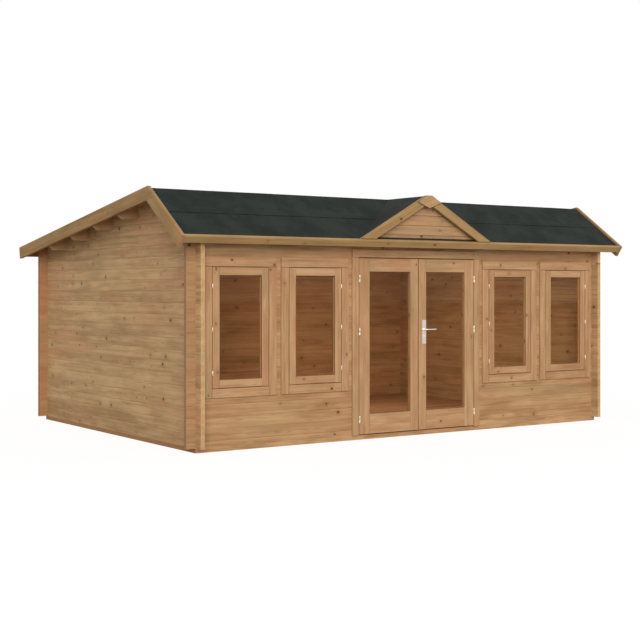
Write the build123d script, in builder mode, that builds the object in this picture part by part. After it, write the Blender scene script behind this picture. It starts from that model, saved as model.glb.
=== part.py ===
"""Log cabin with a steep front slope, a long low rear slope, a gablet over the doors, and four windows.

The frame stands with +Z up, the door side looks along -Y, and the origin is at ground level in the middle
of the footprint. All sizes are in millimetres.
"""

import os
from math import cos, radians, sin, tan

from build123d import *

os.makedirs("parts", exist_ok=True)

# Footprint and logs
wall_length = 5320.0
wall_depth = 3712.0
log_thickness = 44.0
log_pitch = 114.0
log_groove = 5.0
log_end = 100.0

# Base and floor
bearer_height = 45.0
bearer_width = 70.0
joist_width = 45.0
joist_spacing = 520.0
deck_thickness = 19.0

# Main roof
ridge_height = 2526.0
ridge_setback = 510.0
front_pitch = 35.0
rear_pitch = 8.4
felt_thickness = 3.0
roof_board = 19.0
eave_overhang = 212.0
gable_overhang = 254.0

# Edge boards of the roof
edge_board = 34.0
barge_depth = 133.0
barge_rise = 18.0
fascia_rise = 12.0
front_fascia_depth = 76.0
rear_fascia_depth = 105.0

# Purlins
purlin_width = 44.0
purlin_depth = 133.0
purlin_bevel = 50.0
purlin_count = 4
ridge_bay = 756.0
ridge_purlin_depth = 150.0

# Gablet over the door
gablet_pitch = 29.3
gablet_front_setback = 130.0
gablet_cladding = 19.0
gablet_barge_depth = 90.0
gablet_foot_gap = 0.5
plate_thickness = 16.0
plate_half_width = 158.0
plate_drop = 134.0
plate_shoulder_drop = 70.0

# Doorway
logs_over_door = 1
door_settling_gap = 25.0
casing_thickness = 18.0
lining_thickness = 28.0
door_casing_width = 80.0
door_gap = 5.0
meeting_gap = 8.0
leaf_width = 767.5
leaf_thickness = 40.0
leaf_bottom = 55.0
door_head_gap = 8.0
door_stop = 12.0
door_stop_depth = 17.0
hinge_stile = 139.0
meeting_stile = 110.0
leaf_top_rail = 145.0
leaf_bottom_rail = 213.0
glass_bevel = 8.0
pane_thickness = 4.0
pane_rebate = 8.0
threshold_thickness = 4.0

# Door hinges
hinge_from_foot = 150.0
hinge_from_head = 215.0
middle_hinge_share = 0.6228
hinge_length = 80.0
hinge_stem_reach = 9.0
hinge_stem_height = 14.0
knuckle_radius = 7.0
pin_radius = 3.5
pin_reach = 30.0
pin_clearance = 0.3
knuckle_gap = 1.0

# Door handle
handle_plate_width = 50.0
handle_plate_length = 254.0
handle_plate_thickness = 3.0
handle_plate_corner = 5.0
handle_backset = 75.0
handle_height = 1117.0
handle_plate_above = 102.0
spindle_radius = 4.0
spindle_clearance = 0.5
lever_reach = 38.0
lever_length = 135.0
lever_radius = 8.0
seat_gap = 0.3
key_radius = 8.5
key_drop = 72.0
key_proud = 5.0

# Windows
window_bottom = 512.0
window_below_head_joint = 68.0
window_from_corner = 80.0
window_spacing = 55.0
window_from_door = 48.5
window_casing_width = 88.0
window_head_width = 96.0
sash_gap = 3.0
sash_thickness = 40.0
sash_width = 86.0
window_stop = 12.0
settling_gap = 20.0
inner_casing_thickness = 12.0
inner_casing_width = 70.0
window_hinge_from_foot = 148.0
window_hinge_from_head = 188.0
window_hinge_length = 47.0
window_knuckle_radius = 5.0
window_hinge_stem = 8.0

# Places worked out from the sizes above
half_length = wall_length / 2
half_depth = wall_depth / 2
front_face = -half_depth
front_inside = front_face + log_thickness
rear_inside = half_depth - log_thickness
side_inside = -half_length + log_thickness
ridge_y = front_face + ridge_setback
roof_half_length = half_length + gable_overhang - edge_board
roof_skin = felt_thickness + roof_board
sin_front = sin(radians(front_pitch))
cos_front = cos(radians(front_pitch))
sin_rear = sin(radians(rear_pitch))
cos_rear = cos(radians(rear_pitch))
front_eave = (ridge_setback + eave_overhang - barge_rise * sin_front) / cos_front
rear_eave = (wall_depth - ridge_setback + eave_overhang - barge_rise * sin_rear) / cos_rear
side_joint = bearer_height + log_pitch
cross_joint = bearer_height + log_pitch / 2
front_wall_height = ridge_height - ridge_setback * sin_front / cos_front - roof_skin / cos_front
doorway_logs = int((front_wall_height - cross_joint) / log_pitch) - logs_over_door
door_head_joint = cross_joint + doorway_logs * log_pitch
leaf_top = door_head_joint - door_settling_gap - lining_thickness - door_head_gap
door_half_clear = meeting_gap / 2 + leaf_width + door_gap
door_half_cut = door_half_clear + lining_thickness
door_half_casing = door_half_clear + door_casing_width
door_clear_top = leaf_top + door_head_gap
casing_face = front_face - casing_thickness
leaf_back = casing_face + leaf_thickness
pin_y = casing_face - knuckle_radius - knuckle_gap
front_space = half_length - door_half_casing - window_from_corner - window_spacing - window_from_door
window_width = front_space / 2
window_height = door_head_joint - window_below_head_joint - window_bottom
first_window = -half_length + window_from_corner + window_width / 2
second_window = first_window + window_width + window_spacing
wall_top_limit = ridge_height + log_pitch


def on_front(along, up):
    """Point in the side view: `along` down the front slope from the ridge, `up` square to the felt."""
    y = ridge_y - along * cos_front - up * sin_front
    return (y, ridge_height - along * sin_front + up * cos_front)


def on_rear(along, up):
    """Point in the side view: `along` down the rear slope from the ridge, `up` square to the felt."""
    y = ridge_y + along * cos_rear + up * sin_rear
    return (y, ridge_height - along * sin_rear + up * cos_rear)


def at_ridge(front_up, rear_up):
    """Point where a line `front_up` over the front felt meets one `rear_up` over the rear felt."""
    spread = sin(radians(front_pitch + rear_pitch))
    y = (rear_up * cos_front - front_up * cos_rear) / spread
    z = (sin_front * rear_up + sin_rear * front_up) / spread
    return (ridge_y + y, ridge_height + z)


def joint_levels(first, top):
    """Heights of the log joints from `first` up, one log apart, that lie below `top`."""
    levels = []
    level = first
    while level < top - log_groove:
        levels.append(level)
        level += log_pitch
    return levels


def log_outline(outer, inner, bottom, top, first_joint):
    """Upright section of a log wall with a V groove at each joint of its outer face."""
    inward = log_groove if inner > outer else -log_groove
    points = [(outer, bottom)]
    for joint in joint_levels(first_joint, top):
        points += [(outer, joint - log_groove), (outer + inward, joint), (outer, joint + log_groove)]
    points += [(outer, top), (inner, top), (inner, bottom)]
    return points


under_roof = [
    (on_front(front_eave, 0)[0], 0),
    on_front(front_eave, -roof_skin),
    at_ridge(-roof_skin, -roof_skin),
    on_rear(rear_eave, -roof_skin),
    (on_rear(rear_eave, 0)[0], 0),
]
purlin_spacing = (wall_depth - ridge_setback - log_thickness / 2 - ridge_bay) / purlin_count
purlin_places = [half_depth - log_thickness / 2 - purlin_spacing * (n + 1) for n in range(purlin_count)]


def under_boards(y):
    """Height of the underside of the rear roof boards at `y`."""
    corner = at_ridge(-roof_skin, -roof_skin)
    return corner[1] - (y - corner[0]) * tan(radians(rear_pitch))


def purlin_section(y):
    """Side view of a purlin under the rear slope, its top planed to the boards."""
    left = y - purlin_width / 2
    right = y + purlin_width / 2
    bottom = under_boards(y) - purlin_depth
    return [(left, bottom), (right, bottom), (right, under_boards(right)), (left, under_boards(left))]


def ridge_purlin_section():
    """Side view of the ridge purlin, its top planed to both slopes."""
    peak = at_ridge(-roof_skin, -roof_skin)
    left = peak[0] - purlin_width / 2
    right = peak[0] + purlin_width / 2
    bottom = peak[1] - ridge_purlin_depth
    left_top = peak[1] - purlin_width / 2 * tan(radians(front_pitch))
    return [(left, bottom), (right, bottom), (right, under_boards(right)), peak, (left, left_top)]


# Base frame under the walls
with BuildPart() as base_bearers:
    with BuildSketch() as base_outline:
        Rectangle(wall_length, wall_depth)
        Rectangle(wall_length - 2 * bearer_width, wall_depth - 2 * bearer_width, mode=Mode.SUBTRACT)
    extrude(amount=bearer_height)
base_bearers.part.label = "base_bearers"
export_step(base_bearers.part, "parts/base_bearers.step")

joist_count = int((wall_length - 2 * bearer_width) / joist_spacing)
with BuildPart() as floor_joists:
    with BuildSketch() as joist_outlines:
        with GridLocations(joist_spacing, 0, joist_count, 1):
            Rectangle(joist_width, wall_depth - 2 * bearer_width)
    extrude(amount=bearer_height)
floor_joists.part.label = "floor_joists"
export_step(floor_joists.part, "parts/floor_joists.step")

with BuildPart() as floor_deck:
    with BuildSketch(Plane.XY.offset(bearer_height)) as deck_outline:
        Rectangle(wall_length - 2 * log_thickness, wall_depth - 2 * log_thickness)
    extrude(amount=deck_thickness)
floor_deck.part.label = "floor_deck"
export_step(floor_deck.part, "parts/floor_deck.step")

# Side walls: whole logs from the base up, halved over the front and rear logs at each corner
side_notches = [bearer_height] + joint_levels(side_joint, wall_top_limit)
cross_notches = joint_levels(cross_joint, wall_top_limit)
corner_centre_y = half_depth - log_thickness / 2
corner_centre_x = half_length - log_thickness / 2
neck_height = log_pitch / 2

with BuildPart() as left_wall:
    with BuildSketch(Plane.XZ.offset(-half_depth - log_end)) as left_wall_section:
        outline = log_outline(-half_length, side_inside, bearer_height, wall_top_limit, side_joint)
        Polygon(*outline, align=None)
    extrude(amount=wall_depth + 2 * log_end)
    with BuildSketch(Plane.YZ.offset(-half_length)) as gable_shape:
        Polygon(*under_roof, align=None)
    extrude(amount=log_thickness, mode=Mode.INTERSECT)
    with BuildSketch(Plane.YZ.offset(-half_length)) as left_wall_cuts:
        with Locations([(side * corner_centre_y, notch) for side in (-1, 1) for notch in side_notches]):
            Rectangle(log_thickness, neck_height)
        for place in purlin_places:
            Polygon(*purlin_section(place), align=None)
        Polygon(*ridge_purlin_section(), align=None)
    extrude(amount=log_thickness, mode=Mode.SUBTRACT)
left_wall.part.label = "left_wall"
export_step(left_wall.part, "parts/left_wall.step")

with BuildPart() as right_wall:
    mirror(left_wall.part, about=Plane.YZ)
right_wall.part.label = "right_wall"
export_step(right_wall.part, "parts/right_wall.step")

# Front and rear walls: a half log at the foot, so that their joints lie between those of the side walls
with BuildPart() as rear_wall:
    with BuildSketch(Plane.YZ.offset(-half_length - log_end)) as rear_wall_section:
        outline = log_outline(half_depth, rear_inside, bearer_height, wall_top_limit, cross_joint)
        Polygon(*outline, align=None)
    extrude(amount=wall_length + 2 * log_end)
    with BuildSketch(Plane.YZ.offset(-half_length - log_end)) as rear_wall_shape:
        Polygon(*under_roof, align=None)
    extrude(amount=wall_length + 2 * log_end, mode=Mode.INTERSECT)
    with BuildSketch(Plane.XZ.offset(-half_depth)) as rear_wall_notches:
        with Locations([(side * corner_centre_x, notch) for side in (-1, 1) for notch in cross_notches]):
            Rectangle(log_thickness, neck_height)
    extrude(amount=log_thickness, mode=Mode.SUBTRACT)
rear_wall.part.label = "rear_wall"
export_step(rear_wall.part, "parts/rear_wall.step")

with BuildPart() as front_wall_top:
    with BuildSketch(Plane.YZ.offset(-half_length - log_end)) as front_top_section:
        first = door_head_joint + log_pitch
        outline = log_outline(front_face, front_inside, door_head_joint, wall_top_limit, first)
        Polygon(*outline, align=None)
    extrude(amount=wall_length + 2 * log_end)
    with BuildSketch(Plane.YZ.offset(-half_length - log_end)) as front_top_shape:
        Polygon(*under_roof, align=None)
    extrude(amount=wall_length + 2 * log_end, mode=Mode.INTERSECT)
    with BuildSketch(Plane.XZ.offset(-front_inside)) as front_top_notches:
        with Locations([(side * corner_centre_x, notch) for side in (-1, 1) for notch in cross_notches]):
            Rectangle(log_thickness, neck_height)
    extrude(amount=log_thickness, mode=Mode.SUBTRACT)
front_wall_top.part.label = "front_wall_top"
export_step(front_wall_top.part, "parts/front_wall_top.step")

# The openings in the logs hold the window linings, with room above for the logs to settle
window_clear_width = window_width - 2 * window_casing_width
window_clear_bottom = window_bottom + window_casing_width
window_clear_top = window_bottom + window_height - window_head_width
window_cut_width = window_clear_width + 2 * lining_thickness
window_cut_bottom = window_clear_bottom - lining_thickness
window_cut_top = window_clear_top + lining_thickness + settling_gap
window_cut_height = window_cut_top - window_cut_bottom
window_cut_centre = (window_cut_bottom + window_cut_top) / 2
with BuildPart() as front_wall_left:
    with BuildSketch(Plane.YZ.offset(-half_length - log_end)) as front_left_section:
        outline = log_outline(front_face, front_inside, bearer_height, door_head_joint, cross_joint)
        Polygon(*outline, align=None)
    extrude(amount=half_length + log_end - door_half_cut)
    with BuildSketch(Plane.XZ.offset(-front_inside)) as front_left_cuts:
        with Locations([(-corner_centre_x, notch) for notch in cross_notches]):
            Rectangle(log_thickness, neck_height)
        with Locations((first_window, window_cut_centre), (second_window, window_cut_centre)):
            Rectangle(window_cut_width, window_cut_height)
    extrude(amount=log_thickness, mode=Mode.SUBTRACT)
front_wall_left.part.label = "front_wall_left"
export_step(front_wall_left.part, "parts/front_wall_left.step")

with BuildPart() as front_wall_right:
    mirror(front_wall_left.part, about=Plane.YZ)
front_wall_right.part.label = "front_wall_right"
export_step(front_wall_right.part, "parts/front_wall_right.step")

# Roof boards and felt, mitred at the ridge
with BuildPart() as roof_boards_front:
    with BuildSketch(Plane.YZ.offset(-roof_half_length)) as front_boards_section:
        Polygon(
            at_ridge(-felt_thickness, -felt_thickness),
            on_front(front_eave - edge_board, -felt_thickness),
            on_front(front_eave - edge_board, -roof_skin),
            at_ridge(-roof_skin, -roof_skin),
            align=None,
        )
    extrude(amount=2 * roof_half_length)
roof_boards_front.part.label = "roof_boards_front"
export_step(roof_boards_front.part, "parts/roof_boards_front.step")

with BuildPart() as roof_boards_rear:
    with BuildSketch(Plane.YZ.offset(-roof_half_length)) as rear_boards_section:
        Polygon(
            at_ridge(-felt_thickness, -felt_thickness),
            on_rear(rear_eave - edge_board, -felt_thickness),
            on_rear(rear_eave - edge_board, -roof_skin),
            at_ridge(-roof_skin, -roof_skin),
            align=None,
        )
    extrude(amount=2 * roof_half_length)
roof_boards_rear.part.label = "roof_boards_rear"
export_step(roof_boards_rear.part, "parts/roof_boards_rear.step")

with BuildPart() as roof_felt:
    with BuildSketch(Plane.YZ.offset(-roof_half_length)) as felt_section:
        Polygon(
            at_ridge(0, 0),
            on_front(front_eave - edge_board, 0),
            on_front(front_eave - edge_board, -felt_thickness),
            at_ridge(-felt_thickness, -felt_thickness),
            on_rear(rear_eave - edge_board, -felt_thickness),
            on_rear(rear_eave - edge_board, 0),
            align=None,
        )
    extrude(amount=2 * roof_half_length)
roof_felt.part.label = "roof_felt"
export_step(roof_felt.part, "parts/roof_felt.step")

# Purlins run through the gable walls to the bargeboards, with the lower corner of each end cut back
with BuildPart() as purlins:
    with BuildSketch(Plane.YZ.offset(-roof_half_length)) as purlin_sections:
        for place in purlin_places:
            Polygon(*purlin_section(place), align=None)
        Polygon(*ridge_purlin_section(), align=None)
    extrude(amount=2 * roof_half_length)
    ends = purlins.faces().group_by(Axis.X)[0] + purlins.faces().group_by(Axis.X)[-1]
    chamfer([face.edges().sort_by(Axis.Z)[0] for face in ends], purlin_bevel)
purlins.part.label = "purlins"
export_step(purlins.part, "parts/purlins.step")

# Bargeboards: the rear board runs past the ridge, and the front board butts under it
rear_barge_points = [
    at_ridge(barge_rise, barge_rise),
    on_rear(rear_eave, barge_rise),
    on_rear(rear_eave, barge_rise - barge_depth),
    at_ridge(barge_rise, barge_rise - barge_depth),
]
front_barge_points = [
    at_ridge(barge_rise, barge_rise - barge_depth),
    on_front(front_eave, barge_rise),
    on_front(front_eave, barge_rise - barge_depth),
    at_ridge(barge_rise - barge_depth, barge_rise - barge_depth),
]
with BuildPart() as rear_bargeboards:
    with BuildSketch(Plane.YZ.offset(roof_half_length)) as rear_barge_shape:
        Polygon(*rear_barge_points, align=None)
    extrude(amount=edge_board)
    mirror(about=Plane.YZ)
rear_bargeboards.part.label = "rear_bargeboards"
export_step(rear_bargeboards.part, "parts/rear_bargeboards.step")

with BuildPart() as front_bargeboards:
    with BuildSketch(Plane.YZ.offset(roof_half_length)) as front_barge_shape:
        Polygon(*front_barge_points, align=None)
    extrude(amount=edge_board)
    mirror(about=Plane.YZ)
front_bargeboards.part.label = "front_bargeboards"
export_step(front_bargeboards.part, "parts/front_bargeboards.step")

# Fascias lie square to the slopes, on the ends of the roof boards
with BuildPart() as front_fascia:
    with BuildSketch(Plane.YZ.offset(-roof_half_length)) as front_fascia_section:
        Polygon(
            on_front(front_eave - edge_board, fascia_rise),
            on_front(front_eave, fascia_rise),
            on_front(front_eave, fascia_rise - front_fascia_depth),
            on_front(front_eave - edge_board, fascia_rise - front_fascia_depth),
            align=None,
        )
    extrude(amount=2 * roof_half_length)
front_fascia.part.label = "front_fascia"
export_step(front_fascia.part, "parts/front_fascia.step")

with BuildPart() as rear_fascia:
    with BuildSketch(Plane.YZ.offset(-roof_half_length)) as rear_fascia_section:
        Polygon(
            on_rear(rear_eave - edge_board, fascia_rise),
            on_rear(rear_eave, fascia_rise),
            on_rear(rear_eave, fascia_rise - rear_fascia_depth),
            on_rear(rear_eave - edge_board, fascia_rise - rear_fascia_depth),
            align=None,
        )
    extrude(amount=2 * roof_half_length)
rear_fascia.part.label = "rear_fascia"
export_step(rear_fascia.part, "parts/rear_fascia.step")

# Gablet: a small cross roof with its ridge at the height of the main ridge, planted on the front slope
gablet_tan = tan(radians(gablet_pitch))
gablet_cos = cos(radians(gablet_pitch))
gablet_barge_front = front_face - eave_overhang + plate_thickness
gablet_boards_front = gablet_barge_front + edge_board
gablet_length = ridge_y - gablet_boards_front
gablet_foot = on_front(front_eave - edge_board, fascia_rise)[1] + gablet_foot_gap
eave_felt = on_front(front_eave, 0)[1]
main_slope_wedge = [
    (ridge_y, ridge_height),
    on_front(front_eave + edge_board, 0),
    (on_front(front_eave + edge_board, 0)[0], ridge_height - barge_depth - wall_depth),
    (ridge_y, ridge_height - barge_depth - wall_depth),
]


def gablet_height(half_width, up):
    """Height over the ground of a line `up` square to the gablet's felt, `half_width` from its middle."""
    return ridge_height + up / gablet_cos - half_width * gablet_tan


gablet_span = (ridge_height - eave_felt) / gablet_tan + edge_board


def gablet_slope(top_up, bottom_up):
    """Front view of one layer of the gablet's right slope, between two heights over its felt."""
    return [
        (0, gablet_height(0, top_up)),
        (gablet_span, gablet_height(gablet_span, top_up)),
        (gablet_span, gablet_height(gablet_span, bottom_up)),
        (0, gablet_height(0, bottom_up)),
    ]


with BuildPart() as gablet_boards_right:
    with BuildSketch(Plane.XZ.offset(-ridge_y)) as gablet_board_section:
        Polygon(*gablet_slope(-felt_thickness, -roof_skin), align=None)
    extrude(amount=gablet_length)
    with BuildSketch(Plane.YZ.offset(-gablet_span)) as gablet_board_foot:
        Polygon(*main_slope_wedge, align=None)
    extrude(amount=2 * gablet_span, mode=Mode.SUBTRACT)
gablet_boards_right.part.label = "gablet_boards_right"
export_step(gablet_boards_right.part, "parts/gablet_boards_right.step")

with BuildPart() as gablet_boards_left:
    mirror(gablet_boards_right.part, about=Plane.YZ)
gablet_boards_left.part.label = "gablet_boards_left"
export_step(gablet_boards_left.part, "parts/gablet_boards_left.step")

with BuildPart() as gablet_felt:
    with BuildSketch(Plane.XZ.offset(-ridge_y)) as gablet_felt_section:
        Polygon(*gablet_slope(0, -felt_thickness), align=None)
        mirror(about=Plane.YZ)
    extrude(amount=gablet_length)
    with BuildSketch(Plane.YZ.offset(-gablet_span)) as gablet_felt_foot:
        Polygon(*main_slope_wedge, align=None)
    extrude(amount=2 * gablet_span, mode=Mode.SUBTRACT)
gablet_felt.part.label = "gablet_felt"
export_step(gablet_felt.part, "parts/gablet_felt.step")

with BuildPart() as gablet_front:
    with BuildSketch(Plane.XZ.offset(-front_face + gablet_front_setback)) as gablet_front_shape:
        Polygon(
            (0, gablet_height(0, -roof_skin)),
            (gablet_span, gablet_height(gablet_span, -roof_skin)),
            (-gablet_span, gablet_height(gablet_span, -roof_skin)),
            align=None,
        )
    extrude(amount=-gablet_cladding)
    with BuildSketch(Plane.YZ.offset(-gablet_span)) as gablet_front_foot:
        Polygon(*main_slope_wedge, align=None)
    extrude(amount=2 * gablet_span, mode=Mode.SUBTRACT)
gablet_front.part.label = "gablet_front"
export_step(gablet_front.part, "parts/gablet_front.step")

with BuildPart() as gablet_barge_right:
    with BuildSketch(Plane.XZ.offset(-gablet_barge_front)) as gablet_barge_shape:
        Polygon(*gablet_slope(barge_rise, barge_rise - gablet_barge_depth), align=None)
        with Locations((gablet_span / 2, (gablet_foot + ridge_height) / 2)):
            Rectangle(gablet_span, ridge_height - gablet_foot, mode=Mode.INTERSECT)
    extrude(amount=-edge_board)
gablet_barge_right.part.label = "gablet_barge_right"
export_step(gablet_barge_right.part, "parts/gablet_barge_right.step")

with BuildPart() as gablet_barge_left:
    mirror(gablet_barge_right.part, about=Plane.YZ)
gablet_barge_left.part.label = "gablet_barge_left"
export_step(gablet_barge_left.part, "parts/gablet_barge_left.step")

plate_flat = (gablet_height(0, barge_rise) - ridge_height) / gablet_tan
with BuildPart() as gablet_plate:
    with BuildSketch(Plane.XZ.offset(-gablet_barge_front)) as gablet_plate_shape:
        Polygon(
            (0, ridge_height - plate_drop),
            (plate_half_width, ridge_height - plate_shoulder_drop),
            (plate_flat, ridge_height),
            (-plate_flat, ridge_height),
            (-plate_half_width, ridge_height - plate_shoulder_drop),
            align=None,
        )
    extrude(amount=plate_thickness)
gablet_plate.part.label = "gablet_plate"
export_step(gablet_plate.part, "parts/gablet_plate.step")

# Windows: frame with casing, lining and stop, then a sash with its pane in a rebate
sash_front = casing_face
sash_back = sash_front + sash_thickness
sash_middle = (sash_front + sash_back) / 2
sash_clear_width = window_clear_width - 2 * sash_gap
sash_clear_height = window_clear_top - window_clear_bottom - 2 * sash_gap
sash_centre_z = (window_clear_top + window_clear_bottom) / 2
casing_centre_z = window_bottom + window_height / 2
glass_width = sash_clear_width - 2 * sash_width
glass_height = sash_clear_height - 2 * sash_width
window_places = {"1": first_window, "2": second_window, "3": -second_window, "4": -first_window}
window_clear_height = window_clear_top - window_clear_bottom
window_stop_width = window_clear_width - 2 * window_stop
window_stop_height = window_clear_height - 2 * window_stop
inner_casing_outer_width = window_stop_width + 2 * inner_casing_width
inner_casing_outer_height = window_stop_height + 2 * inner_casing_width

for number, place in window_places.items():
    with BuildPart() as window_frame:
        with BuildSketch(Plane.XZ.offset(-front_face)) as casing_shape:
            with Locations((place, casing_centre_z)):
                Rectangle(window_width, window_height)
            with Locations((place, sash_centre_z)):
                Rectangle(window_clear_width, window_clear_height, mode=Mode.SUBTRACT)
        extrude(amount=casing_thickness)
        with BuildSketch(Plane.XZ.offset(-front_face)) as lining_shape:
            with Locations((place, sash_centre_z)):
                Rectangle(window_cut_width, window_clear_height + 2 * lining_thickness)
                Rectangle(window_clear_width, window_clear_height, mode=Mode.SUBTRACT)
        extrude(amount=-log_thickness)
        with BuildSketch(Plane.XZ.offset(-front_inside)) as stop_shape:
            with Locations((place, sash_centre_z)):
                Rectangle(window_clear_width, window_clear_height)
                Rectangle(window_stop_width, window_stop_height, mode=Mode.SUBTRACT)
        extrude(amount=front_inside - sash_back)
        with BuildSketch(Plane.XZ.offset(-front_inside)) as inner_casing_shape:
            with Locations((place, sash_centre_z)):
                Rectangle(inner_casing_outer_width, inner_casing_outer_height)
                Rectangle(window_stop_width, window_stop_height, mode=Mode.SUBTRACT)
        extrude(amount=-inner_casing_thickness)
    window_frame.part.label = "window_frame_" + number
    export_step(window_frame.part, "parts/window_frame_" + number + ".step")

    with BuildPart() as window_sash:
        with BuildSketch(Plane.XZ.offset(-sash_back)) as sash_shape:
            with Locations((place, sash_centre_z)):
                Rectangle(sash_clear_width, sash_clear_height)
                Rectangle(glass_width, glass_height, mode=Mode.SUBTRACT)
        extrude(amount=sash_thickness)
        outer_face = window_sash.faces().sort_by(Axis.Y)[0]
        chamfer(outer_face.inner_wires()[0].edges(), glass_bevel)
        with Locations((place, sash_middle, sash_centre_z)):
            Box(
                glass_width + 2 * pane_rebate,
                pane_thickness,
                glass_height + 2 * pane_rebate,
                mode=Mode.SUBTRACT,
            )
    window_sash.part.label = "window_sash_" + number
    export_step(window_sash.part, "parts/window_sash_" + number + ".step")

with BuildPart() as window_panes:
    with Locations([(place, sash_middle, sash_centre_z) for place in window_places.values()]):
        Box(glass_width + 2 * pane_rebate, pane_thickness, glass_height + 2 * pane_rebate)
window_panes.part.label = "window_panes"
export_step(window_panes.part, "parts/window_panes.step")

# Window hinges: the first window hangs at its left, the second at its right, and the other two mirror them
hinge_edges = [first_window - sash_clear_width / 2, second_window + sash_clear_width / 2]
lowest_window_hinge = window_clear_bottom + window_hinge_from_foot
highest_window_hinge = window_clear_top - window_hinge_from_head
middle_window_hinge = (lowest_window_hinge + highest_window_hinge) / 2
window_hinge_heights = (lowest_window_hinge, middle_window_hinge, highest_window_hinge)
with BuildPart() as window_hinges:
    for edge in hinge_edges:
        for height in window_hinge_heights:
            with BuildSketch(Plane.XY.offset(height - window_hinge_length / 2)) as window_hinge_section:
                with Locations((edge, casing_face - window_knuckle_radius)):
                    Circle(window_knuckle_radius)
                with Locations((edge, casing_face - window_knuckle_radius / 2)):
                    Rectangle(window_hinge_stem, window_knuckle_radius)
            extrude(amount=window_hinge_length)
    mirror(about=Plane.YZ)
window_hinges.part.label = "window_hinges"
export_step(window_hinges.part, "parts/window_hinges.step")

# Door frame: casing on the logs, lining through the wall and a stop behind the leaves
lining_top = door_clear_top + lining_thickness
door_stop_top = door_clear_top - door_stop
with BuildPart() as door_frame:
    with BuildSketch(Plane.XZ.offset(-front_face)) as door_casing_shape:
        with Locations((0, bearer_height)):
            Rectangle(
                2 * door_half_casing,
                door_clear_top + door_casing_width - bearer_height,
                align=(Align.CENTER, Align.MIN),
            )
            Rectangle(
                2 * door_half_clear,
                door_clear_top - bearer_height,
                align=(Align.CENTER, Align.MIN),
                mode=Mode.SUBTRACT,
            )
    extrude(amount=casing_thickness)
    with BuildSketch(Plane.XZ.offset(-front_face)) as door_lining_shape:
        with Locations((0, bearer_height)):
            Rectangle(2 * door_half_cut, lining_top - bearer_height, align=(Align.CENTER, Align.MIN))
            Rectangle(
                2 * door_half_clear,
                door_clear_top - bearer_height,
                align=(Align.CENTER, Align.MIN),
                mode=Mode.SUBTRACT,
            )
    extrude(amount=-log_thickness)
    with BuildSketch(Plane.XZ.offset(-front_inside)) as door_stop_shape:
        with Locations((0, bearer_height)):
            Rectangle(2 * door_half_clear, door_clear_top - bearer_height, align=(Align.CENTER, Align.MIN))
            Rectangle(
                2 * (door_half_clear - door_stop),
                door_stop_top - bearer_height,
                align=(Align.CENTER, Align.MIN),
                mode=Mode.SUBTRACT,
            )
    extrude(amount=door_stop_depth)
    with BuildSketch(Plane.XZ.offset(-front_inside)) as door_inner_casing:
        with Locations((0, bearer_height + deck_thickness)):
            Rectangle(
                2 * (door_half_clear - door_stop + inner_casing_width),
                door_stop_top + inner_casing_width - bearer_height - deck_thickness,
                align=(Align.CENTER, Align.MIN),
            )
            Rectangle(
                2 * (door_half_clear - door_stop),
                door_stop_top - bearer_height - deck_thickness,
                align=(Align.CENTER, Align.MIN),
                mode=Mode.SUBTRACT,
            )
    extrude(amount=-inner_casing_thickness)
door_frame.part.label = "door_frame"
export_step(door_frame.part, "parts/door_frame.step")

threshold_back = front_inside - door_stop_depth
with BuildPart() as threshold_strip:
    with BuildSketch(Plane.XY.offset(bearer_height)) as threshold_outline:
        with Locations((0, (front_face + threshold_back) / 2)):
            Rectangle(2 * door_half_clear, threshold_back - front_face)
    extrude(amount=threshold_thickness)
threshold_strip.part.label = "threshold_strip"
export_step(threshold_strip.part, "parts/threshold_strip.step")

# Door leaves: stiles and rails round one large pane
leaf_height = leaf_top - leaf_bottom
leaf_centre_z = (leaf_top + leaf_bottom) / 2
leaf_centre_x = meeting_gap / 2 + leaf_width / 2
leaf_glass_width = leaf_width - hinge_stile - meeting_stile
leaf_glass_height = leaf_height - leaf_top_rail - leaf_bottom_rail
leaf_glass_x = meeting_gap / 2 + meeting_stile + leaf_glass_width / 2
leaf_glass_z = leaf_bottom + leaf_bottom_rail + leaf_glass_height / 2
leaf_mid_y = (casing_face + leaf_back) / 2
handle_x = meeting_gap / 2 + handle_backset

with BuildPart() as door_leaf_left:
    with BuildSketch(Plane.XZ.offset(-leaf_back)) as leaf_shape:
        with Locations((-leaf_centre_x, leaf_centre_z)):
            Rectangle(leaf_width, leaf_height)
        with Locations((-leaf_glass_x, leaf_glass_z)):
            Rectangle(leaf_glass_width, leaf_glass_height, mode=Mode.SUBTRACT)
    extrude(amount=leaf_thickness)
    leaf_outer_face = door_leaf_left.faces().sort_by(Axis.Y)[0]
    chamfer(leaf_outer_face.inner_wires()[0].edges(), glass_bevel)
    with Locations((-leaf_glass_x, leaf_mid_y, leaf_glass_z)):
        Box(
            leaf_glass_width + 2 * pane_rebate,
            pane_thickness,
            leaf_glass_height + 2 * pane_rebate,
            mode=Mode.SUBTRACT,
        )
door_leaf_left.part.label = "door_leaf_left"
export_step(door_leaf_left.part, "parts/door_leaf_left.step")

with BuildPart() as door_leaf_right:
    mirror(door_leaf_left.part, about=Plane.YZ)
    with BuildSketch(Plane.XZ.offset(-leaf_back)) as spindle_bore:
        with Locations((handle_x, handle_height)):
            Circle(spindle_radius + spindle_clearance)
    extrude(amount=leaf_thickness, mode=Mode.SUBTRACT)
door_leaf_right.part.label = "door_leaf_right"
export_step(door_leaf_right.part, "parts/door_leaf_right.step")

with BuildPart() as door_pane_left:
    with Locations((-leaf_glass_x, leaf_mid_y, leaf_glass_z)):
        Box(leaf_glass_width + 2 * pane_rebate, pane_thickness, leaf_glass_height + 2 * pane_rebate)
door_pane_left.part.label = "door_pane_left"
export_step(door_pane_left.part, "parts/door_pane_left.step")

with BuildPart() as door_pane_right:
    mirror(door_pane_left.part, about=Plane.YZ)
door_pane_right.part.label = "door_pane_right"
export_step(door_pane_right.part, "parts/door_pane_right.step")

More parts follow.
